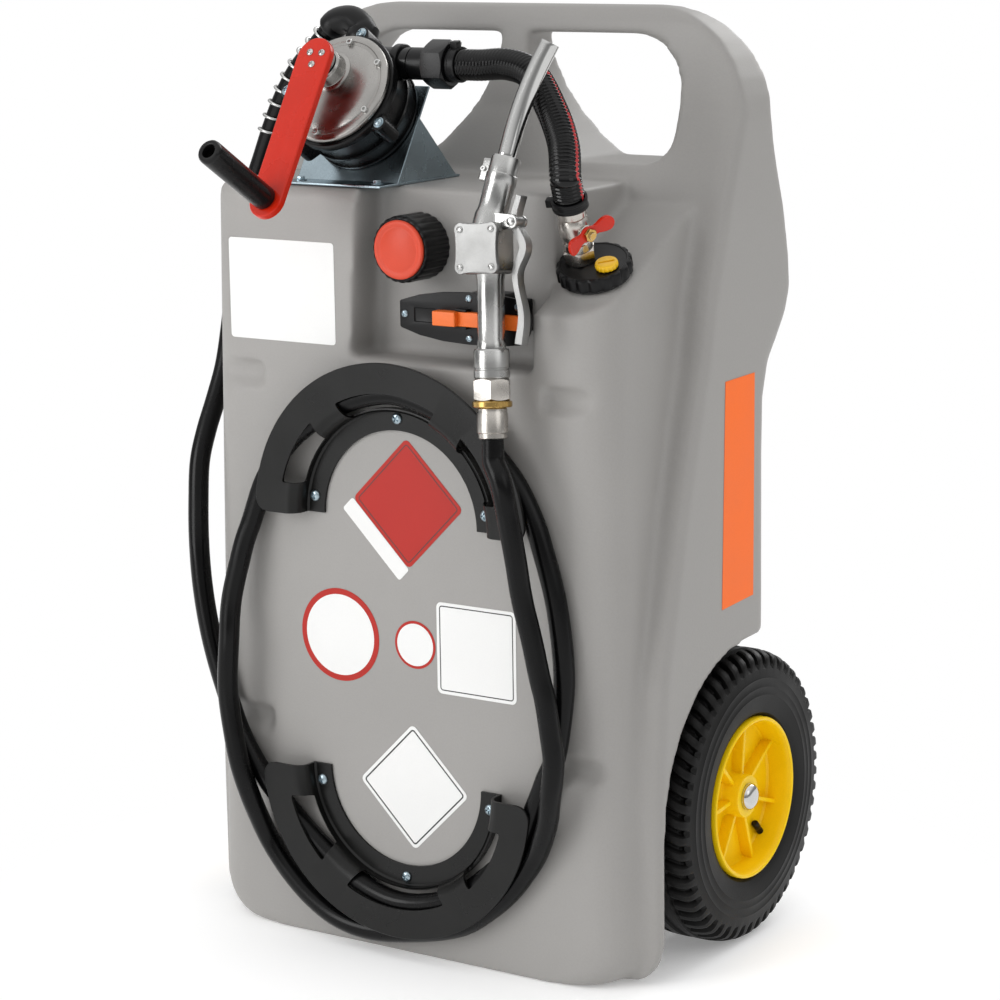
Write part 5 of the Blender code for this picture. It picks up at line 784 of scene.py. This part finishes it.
def waisted(half, lobe, sag):
    """A square plate's outline with round corner lobes and sides drawn in between them."""
    reach = half - lobe
    corners = [(reach, reach, -25), (-reach, reach, 65), (-reach, -reach, 155), (reach, -reach, 245)]
    found = []
    for index, (x, z, start) in enumerate(corners):
        found += arc(x, z, lobe, start, start + 140, 8)
        first = Vector(found[-1])
        next_x, next_z, next_start = corners[(index + 1) % 4]
        last = Vector(arc(next_x, next_z, lobe, next_start, next_start, 1)[0])
        inward = -((first + last) / 2).normalized() * sag
        for t in (k / 6 for k in range(1, 6)):
            found.append(tuple(first.lerp(last, t) + inward * (4 * t * (1 - t))))
    return found


PLATE_TOP = 23.8
plate_place = NOZZLE @ around(-2, 0, 193)
cover_plate = bevelled(prism(waisted(26, 7.5, 1), 18.8, PLATE_TOP), 0.9, 3, 40)
put("nozzle_plate", cover_plate, DULL, "nozzle_cover").data.transform(plate_place)
plate_screws = [plate_place @ shift(x, z, PLATE_TOP) @ turned(20 * k, "Z")
                for k, (x, z) in enumerate(((-18.8, 19), (18.8, 19), (-18.8, -19), (18.8, -19)))]
copies("nozzle_plate_screw", cross_screw(3.6, 2), plate_screws, BRIGHT)

# Nozzle's spout

SPOUT_REACH = 16
SPOUT_RISE = 122
SPOUT_SHARES = [(0, 0), (0, 0.25), (0.15, 0.5), (0.5, 0.75), (1, 1)]
spout_line = smooth_path([spot(SPOUT_REACH * a, 0, 68.3 + SPOUT_RISE * b) for a, b in SPOUT_SHARES], 3)
spout_way = (spout_line[-1] - spout_line[-2]).normalized()
bore_line = [spout_line[-1] - spout_way * (20 * MM), spout_line[-1] + spout_way * (2 * MM)]
spout = cut(sweep(spout_line, [10] * len(spout_line), 40), sweep(bore_line, [8.6, 8.6], 40))
put("nozzle_tip", bevelled(spout, 0.4, 2, 50), CHROME, "nozzle_spout").data.transform(BENT)

# Nozzle's lever

LEVER_LENGTH = 123
LEVER_SHARES = [(0.057, -0.211), (0, 0), (0.089, 0.203), (0.010, 0.423), (0.065, 0.772), (0.033, 1.0)]
line = smooth_path([spot(x * LEVER_LENGTH, -z * LEVER_LENGTH, 0) for x, z in LEVER_SHARES], 3)
sides = ([], [])
for index, place in enumerate(line):
    way = (line[min(index + 1, len(line) - 1)] - line[max(index - 1, 0)]).normalized()
    half = 3.6 - 0.6 * cos(index / (len(line) - 1) * tau * 1.5)
    across = Vector((-way.y, way.x, 0)) * half
    sides[0].append((place / MM + across)[:2])
    sides[1].append((place / MM - across)[:2])
pivot_hole = pin_mesh(PIVOT_HOLE_R, -20, 20)
trigger = bevelled(cut(prism(sides[0] + sides[1][::-1], -6, 6), pivot_hole), 1.4, 3, 50)
eye = bevelled(cut(pin_mesh(6.2, -6, 6, None, 40), pivot_hole), 0.6, 2, 50)
put("nozzle_trigger", merged(trigger, eye), DULL, "nozzle_lever", "trigger").data.transform(LEVER)
rivet = mirrored([(0, -12.1), (3.2, -12.1), (4.5, -11.3), (4.5, -10.6), (3, -10.6)], 0)
put("trigger_rivet", lathe(rivet, LEVER, 32), BRIGHT, "lever_pin")

# Holster and its latch

SLIDE = (699.5, 714.5)
edge = [(130, 27), (112, 27), (95.7, 27), (65.5, 25.5), (36.5, 21.2), (13.5, 14.5), (12, 12.8)]
oval = arc(146.5, HOLSTER_Z, 27, -60, 60, 20) + [(x, HOLSTER_Z + rise) for x, rise in edge]
oval += [(x, HOLSTER_Z - rise) for x, rise in reversed(edge)]
sunk = bevelled(block((30, 58), (-20, -9.8), SLIDE), 1.5, 2)
holster_parts = [
    bevelled(cut(prism(oval, 7.2, 11.2, turned(90, "X")), sunk), 0.9, 3, 25),
    bevelled(block((80, 124), (-7.5, 44.7), (684, 730)), 4, 3),
    bevelled(block((63, 141), (39.5, 44.7), (690, 724)), 2, 3),
    bevelled(block((86, 100), (-19.2, -9.2), (714.8, 717.3)), 0.8, 2),
    bevelled(block((86, 100), (-19.2, -9.2), (696.7, 699.2)), 0.8, 2),
]
put("holster_plate", merged(*holster_parts), BLACK, "holster_bracket")
screw_spots = ((98.5, 727.5), (98.5, 686.5), (18.5, HOLSTER_Z), (158.5, 722.5))
holster_screws = [around(x, -11.2, z) @ turned(31 * k, "Z") for k, (x, z) in enumerate(screw_spots)]
copies("holster_screw", cross_screw(4, 2.2), holster_screws, ZINC)
bar = bevelled(block((89, 168), (-19.2, -11.5), SLIDE), 1.2, 3)
thumb_piece = bevelled(block((61.7, 90), (-25.5, -11.8), (699.4, 714.6)), 1.8, 3)
put("latch_bar", merged(bar, thumb_piece), ORANGE, "holster_latch", "latch")

# Suction side: adapter, union, ribbed hose, clamps, valve, flange and vent

SUCTION_SHARES = [(0.238, 0.015, -0.015), (0.466, 0.125, 0.06), (0.701, 0.39, 0.345), (0.906, 0.722, 0.699)]
SUCTION_SIDES = 48
RIB_PITCH = 4.2
RIB_DEPTH = 1.7
STRIPE_FROM = 0.42
STRIPE_HALF_TURN = 7
CLAMP_WIDTH = 11
STRIPE_WAY = Vector((0.93, -0.05, 0.35))
adapter = [(0, 0.3), (16, 0.3), (17, 1.3), (17, 21.2), (16, 22.2), (12, 22.2), (12, 49.5), (0, 49.5)]
put("inlet_stub", lathe(adapter, ACROSS, 56), BLACK, "inlet_adapter")
put("union_hexagon", chamfered_nut(22.5, 22.5, 49.5, ACROSS, 12.3), GLOSSY, "union_nut")
start = INLET + spot(50.1, 0, 0)
leave = start + spot(33, 0, 0)
before = PORT @ spot(-15, 0, 111.2)
span = before - leave
middle = [leave + Vector((span.x * a, span.y * b, span.z * c)) for a, b, c in SUCTION_SHARES]
suction_line = straight_ended([start, leave, *middle, before, PORT @ spot(-15, 0, 78.5)], 0.7)
suction_frames = frames_along(suction_line)
suction_walk = [walked / MM for walked in lengths_along(suction_line)]


def rib_radius(walked):
    """The ribs wind round the hose, and stop at its ends."""
    if walked < 13 or suction_walk[-1] - walked < 14:
        return 15.8
    phase = tau * walked / RIB_PITCH
    return lambda angle: 16.5 - RIB_DEPTH * (0.5 - 0.5 * cos(phase + angle))


def on_stripe(index, step):
    if index < len(suction_line) * STRIPE_FROM:
        return False
    side, up = suction_frames[index]
    angle = tau * (step + 0.5) / SUCTION_SIDES
    way = side * cos(angle) + up * sin(angle)
    along = side.cross(up)
    flat = (STRIPE_WAY - along * STRIPE_WAY.dot(along)).normalized()
    return way.dot(flat) > cos(radians(STRIPE_HALF_TURN))


suction_mesh = sweep(suction_line, [rib_radius(walked) for walked in suction_walk], SUCTION_SIDES, on_stripe)
put("suction_ribbed", suction_mesh, (RIBBED, STRIPE), "suction_hose", angle=None).data.shade_smooth()
for word, low, matrix, turn_by in (("top", 50.7, ACROSS, 190), ("bottom", 79.4, VALVE, 195)):
    high = low + CLAMP_WIDTH
    band = mirrored([(16.7, low), (18.6, low), (18.8, low + 0.6), (18.8, low + 2.8), (18.1, low + 3.4)],
                    low + high)
    turning = turned(turn_by, "Z")
    ear = bevelled(block((17, 25), (-4.2, 4.2), (low + 1.2, high - 1.2), turning), 1, 3)
    clamp = merged(lathe(band, None, 64, closed=True), ear)
    put(f"clamp_{word}", clamp, BLACK, f"hose_clamp_{word}").data.transform(matrix)
    screw_place = matrix @ turning @ around(21.2, -4.2, (low + high) / 2)
    put(f"clamp_{word}_screw", socket_screw(3.4, 3), BRIGHT).data.transform(screw_place)
seal = lathe([(27, 0.3), (36, 0.3), (36, 2.3), (27, 2.3)], PORT, 72, closed=True)
put("flange_seal", seal, SEAL, "flange_gasket")
flange = [(0, 2.6), (38.5, 2.6), (39.5, 3.6), (39.5, 15), (38.5, 16.6), (36, 17.6), (34.5, 17.6), (33.8, 17),
          (0, 17)]
put("flange_ring", lathe(flange, PORT, 252, 18, 2.2, 38), BLACK, "suction_flange")
put("valve_foot", chamfered_nut(15.5, 17.2, 31.9, VALVE), NICKEL, "hex_adapter")
trunk = mirrored([(0, 0), (15, 0), (15, 7.5), (14, 8.5), (13.5, 10), (15, 12.5), (16.3, 16), (16.5, 20)], 46)
neck = lathe([(0, 10), (8, 10), (8, 18.2), (7.4, 19), (0, 19)], STEM, 40)
put("valve_trunk", merged(lathe(trunk, SEAT, 64), neck), NICKEL, "valve_body")
WING = [(0, 7.6), (4, 7), (8, 5.2), (12, 5.6), (16, 7.2), (20, 8.4), (24, 8.6), (26.5, 7.6), (28.8, 5),
        (30, 1.8)]
WING_REACH = 31
WING_RISE = 6.5
wing_shape = WING + [(x, -w) for x, w in reversed(WING)]
wing_shape += [(-x, -w) for x, w in WING[1:]] + [(-x, w) for x, w in reversed(WING[1:])]
wing = bevelled(prism(wing_shape, 19.3, 23.3), 1.2, 3, 40)
for vertex in wing.vertices:
    share = abs(vertex.co.x) / (WING_REACH * MM)
    if share > 0.25:
        vertex.co.z += WING_RISE * MM * share ** 2
wing.transform(STEM @ turned(98, "Z"))
put("valve_wing", wing, RED, "valve_handle", "valve_lever")
put("valve_wing_nut", chamfered_nut(6.4, 23.6, 27.6, STEM), BRASS, "valve_nut", "valve_lever")
put("valve_stem_end", pin_mesh(3.6, 27, 30, STEM), BRASS, body="valve_lever")
vent = lathe([(0, 17.9), (11.5, 17.9), (12, 18.6), (12, 22.6), (11.2, 23.9), (9.8, 24.2), (0, 24.2)], None,
             96, 16, 0.8, 11.5)
vent = bevelled(cut(vent, block((-8.5, 8.5), (-1.4, 1.4), (21.8, 30))), 0.3, 2, 40)
vent.transform(PORT @ shift(20, -6, 0) @ turned(35, "Z"))
put("vent_plug", vent, LEMON, "vent_cap", "vent")

# Wheels

LUGS = 54
LUG_SHARES = (0, 0, 0, 0, 0.15, 0.9, 1, 0.8)
LUG_DEPTH = 6.8
LUG_SLANT = 0.10
RIM_RIBS = 7
HALF_TREAD = [
    (89.6, -36, 0), (93.5, -40.5, 0), (101, -43.2, 0), (111.2, -44, 0), (113.5, -44.6, 0), (115.8, -44, 0),
    (120, -43.8, 0), (122.2, -44.3, 0), (124.4, -43.7, 0), (130, -43.2, 0), (132, -43.7, 0), (134, -43, 0),
    (142, -42, 0.1), (147, -41.2, 0.8), (151.5, -40, 1), (155.4, -37.6, 1), (158.5, -32.5, 1),
    (160.3, -27, 1), (161.3, -21.5, 1), (161.5, -18.8, 1), (158.5, -17.5, 0), (158.5, -15.5, 0),
    (161.6, -14, 0), (161.7, -6, 0), (158.7, -4.8, 0),
]


def tyre_mesh(matrix):
    """A turned tyre whose last value in each row says how deep the lugs are cut there."""
    other_half = [(r, -z, deep) for r, z, deep in reversed(HALF_TREAD)]
    steps = LUGS * len(LUG_SHARES)
    rings = []
    for r, z, deep in [*HALF_TREAD, (158.7, 0, 0), *other_half, (99, 30, 0), (99, -30, 0)]:
        slant = copysign(LUG_SLANT, z) * max(0.0, abs(z) - 6) / 36
        ring = []
        for step in range(steps):
            dip = LUG_DEPTH * deep * LUG_SHARES[step % len(LUG_SHARES)]
            radius = r - (dip if r > 150 else 0)
            aside = dip * 0.75 if 143 < r < 156 else 0
            angle = tau * step / steps + slant
            ring.append((radius * cos(angle), radius * sin(angle), z - copysign(aside, z)))
        rings.append(ring)
    return skin(rings, matrix, closed=True)


rim_profile = [(81.3, -42), (88, -42), (89.3, -40.5), (89.3, -36), (87.5, -34), (87.5, 34), (89.3, 36),
               (89.3, 41.5), (88.5, 43.2), (86.8, 43.8), (85, 43), (83.8, 40.5), (82.6, 36), (82, 16),
               (80, 13.6), (77, 13), (30, 13), (26.2, 14.5), (24.5, 17.5), (24, 32), (23, 34), (15, 34),
               (14, 33), (10.5, 33), (10.5, -53.7), (24, -53.7), (24, 6), (81.3, 6)]
stem_profile = [(0, -12.5), (4, -12.5), (4, 3), (3.4, 4.5), (3.4, 7), (4, 8), (4, 16.5), (3.2, 18), (0, 18)]
dome = [(10.1, 34.3), (15, 34.3), (15, 36.2), (14.2, 38.8), (12, 41.2), (8.5, 42.7), (4.5, 43.2), (0, 43.3),
        (0, 40.5), (10.1, 40)]
for word, sign in (("left", -1), ("right", 1)):
    hub = shift(sign * 257, 234, 161.7) @ turned(90 * sign, "Y")
    body = f"wheel_{word}"
    put(f"tyre_tread_{word}", tyre_mesh(hub), RUBBER, f"tyre_{word}", body, angle=28)
    parts = [lathe(rim_profile, hub, 120, closed=True)]
    for k in range(RIM_RIBS):
        rib_place = hub @ turned(360 * (k + 0.37) / RIM_RIBS, "Z")
        parts.append(bevelled(block((21.5, 83.5), (-2.4, 2.4), (10, 26.2), rib_place), 1.6, 3))
    put(f"rim_{word}_fine", merged(*parts), YELLOW, f"rim_{word}", body, angle=30)
    stem_place = hub @ turned(360 * 0.87 / RIM_RIBS, "Z") @ shift(81.3, 0, 18) @ turned(-90, "Y")
    put(f"tyre_stem_{word}", lathe(stem_profile, stem_place, 28), BLACK, f"tyre_valve_{word}", body)
    put(f"axle_dome_{word}", lathe(dome, hub, 64), CHROME, f"axle_cap_{word}")

# Stickers: plain colours with plain borders, on the tank's flats

FRONT = -0.2
STICKER_SIDE = 290.2
STICKER_CORNER = 6
STICKER_HALF = 50
ROUND_SIDES = 64


def plate(name, outline, material, matrix, lift=0.0):
    return put(name, prism(outline, lift, lift + 0.2, matrix), material, angle=None)


def square(half, corner):
    return rounded(-half, half, -half, half, corner)


def bordered(name, matrix, colour, margin, width):
    """A square sticker with a thin border line inside its margin."""
    plate(name, square(STICKER_HALF, STICKER_CORNER), colour, matrix)
    outer = square(STICKER_HALF - margin, STICKER_CORNER * 0.6)
    inner = square(STICKER_HALF - margin - width, STICKER_CORNER * 0.4)
    levels = ((outer, 0.1), (outer, 0.3), (inner, 0.3), (inner, 0.1))
    rings = [[(x, y, z) for x, y in line] for line, z in levels]
    put(name + "_border", skin(rings, matrix, closed=True), INK, angle=None)


def disc_sticker(name, x, z, radius, ring_width):
    """A round white sticker with a red rim."""
    where = around(x, FRONT, z)
    last = 360 - 360 / ROUND_SIDES
    plate(name, arc(0, 0, radius, 0, last, ROUND_SIDES - 1), SIGNAL, where)
    plate(name + "_field", arc(0, 0, radius - ring_width, 0, last, ROUND_SIDES - 1), WHITE, where, 0.12)


DIAMOND = around(9, FRONT, 502) @ turned(45, "Z")
bordered("red_sticker", DIAMOND, SIGNAL, 4, 1)
plate("red_sticker_strip", rounded(-69, -50.5, -51, 51, 3), WHITE, DIAMOND)
bordered("lower_sticker", around(10, FRONT, 190) @ turned(45, "Z"), WHITE, 3.5, 1.6)
bordered("middle_sticker", around(93.5, FRONT, 350), WHITE, 3.5, 1.2)
disc_sticker("large_round_sticker", -83.5, 348, 51.5, 6.5)
disc_sticker("small_round_sticker", 15.2, 349, 26.2, 3)
plate("type_sticker", rounded(-70, 70, -54.5, 54.5, 4), WHITE, around(-150, FRONT, 719.5))
side_place = shift(STICKER_SIDE, 0, 0) @ turned(90, "Z") @ turned(90, "X")
plate("side_sticker", [(184, 628), (248, 629), (246, 386), (177, 383)], AMBER, side_place)

# CAD nodes that stay as they are, inside or behind other pieces

for name, material in (("axle", BRIGHT), ("dip_tube", BLACK), ("strainer", BRASS), ("pump_rotor", BRIGHT),
                       ("pump_vane_1", BRIGHT), ("pump_vane_2", BRIGHT), ("valve_ball", NICKEL),
                       ("fill_cap_seal", SEAL)):
    nodes[name].data.materials.clear()
    nodes[name].data.materials.append(material)

# Floor, backdrop and soft light, in metres

FLOOR_REACH = 9
FLOOR_Z = -0.0005
FLOOR_MIDDLE = (0.02, 0.14, 0.0)


def pale_floor():
    """A pale floor that keeps the object's soft shadow and turns plain white round it.

    The white is for camera, glossy and transmission rays alone, so it lights nothing.
    """
    made = bpy.data.materials.new("pale_floor")
    made.use_nodes = True
    tree = made.node_tree
    shader = tree.nodes["Principled BSDF"]
    set_inputs(shader, {"Base Color": (0.9, 0.9, 0.9, 1), "Roughness": 0.9, "Emission Color": (1, 1, 1, 1),
                        "Emission Strength": 0.22})
    rays = node(tree, "LightPath")
    either = node(tree, "Math", operation="MAXIMUM")
    third = node(tree, "Math", operation="MAXIMUM")
    place = node(tree, "TexCoord")
    distance = node(tree, "VectorMath", {1: FLOOR_MIDDLE}, operation="DISTANCE")
    away = node(tree, "MapRange", {"From Min": 0.3, "From Max": 0.62}, interpolation_type="SMOOTHSTEP")
    both = node(tree, "Math", operation="MULTIPLY")
    white = node(tree, "Emission")
    mixer = node(tree, "MixShader")
    wire(tree, (rays, "Is Camera Ray", either, 0), (rays, "Is Glossy Ray", either, 1),
         (either, "Value", third, 0), (rays, "Is Transmission Ray", third, 1), (place, "Object", distance, 0),
         (distance, "Value", away, "Value"), (third, "Value", both, 0), (away, "Result", both, 1),
         (both, "Value", mixer, "Fac"), (shader, "BSDF", mixer, 1), (white, "Emission", mixer, 2),
         (mixer, "Shader", tree.nodes["Material Output"], "Surface"))
    return made


floor_mesh = bpy.data.meshes.new("floor")
corners = [(x * FLOOR_REACH, y * FLOOR_REACH, FLOOR_Z) for x, y in ((-1, -1), (1, -1), (1, 1), (-1, 1))]
floor_mesh.from_pydata(corners, [], [(0, 1, 2, 3)])
floor_mesh.materials.append(pale_floor())
added("floor", floor_mesh)

SKY = [(0, 0.6), (0.46, 0.55), (0.52, 0.3), (0.62, 0.32), (0.74, 0.86), (1, 1.2)]
world = bpy.data.worlds.new("studio")
scene.world = world
world.use_nodes = True
tree = world.node_tree
tree.nodes.clear()
rays = node(tree, "LightPath")
heading = node(tree, "TexCoord")
apart = node(tree, "SeparateXYZ")
height = node(tree, "MapRange", {"From Min": -1, "From Max": 1})
sky = ramp(tree, *[(position, (level, level, level)) for position, level in SKY])
soft = node(tree, "Background", {"Strength": 0.95})
plain = node(tree, "Background", {"Color": (1, 1, 1, 1), "Strength": 1})
mixer = node(tree, "MixShader")
wire(tree, (heading, "Generated", apart, "Vector"), (apart, "Z", height, "Value"),
     (height, "Result", sky, "Fac"), (sky, "Color", soft, "Color"), (rays, "Is Camera Ray", mixer, "Fac"),
     (soft, "Background", mixer, 1), (plain, "Background", mixer, 2),
     (mixer, "Shader", node(tree, "OutputWorld"), "Surface"))

# Each lamp: its name, place, aim, size and power
for name, place, aim, size, power in (
        ("key", (-1.7, -2.8, 1.5), (0, 0.1, 0.45), 1.7, 41), ("low", (-0.6, -1.9, 0.2), (0, 0, 0.2), 1, 4),
        ("fill", (3.4, -0.6, 2.2), (0, 0.1, 0.5), 2, 9), ("rear", (0.4, 3.2, 2.4), (0, 0.1, 0.6), 2, 44)):
    light = bpy.data.lights.new(name, "AREA")
    light.size = size
    light.energy = power
    lamp = added(name, light)
    lamp.location = place
    lamp.rotation_euler = (Vector(aim) - Vector(place)).to_track_quat("-Z", "Y").to_euler()
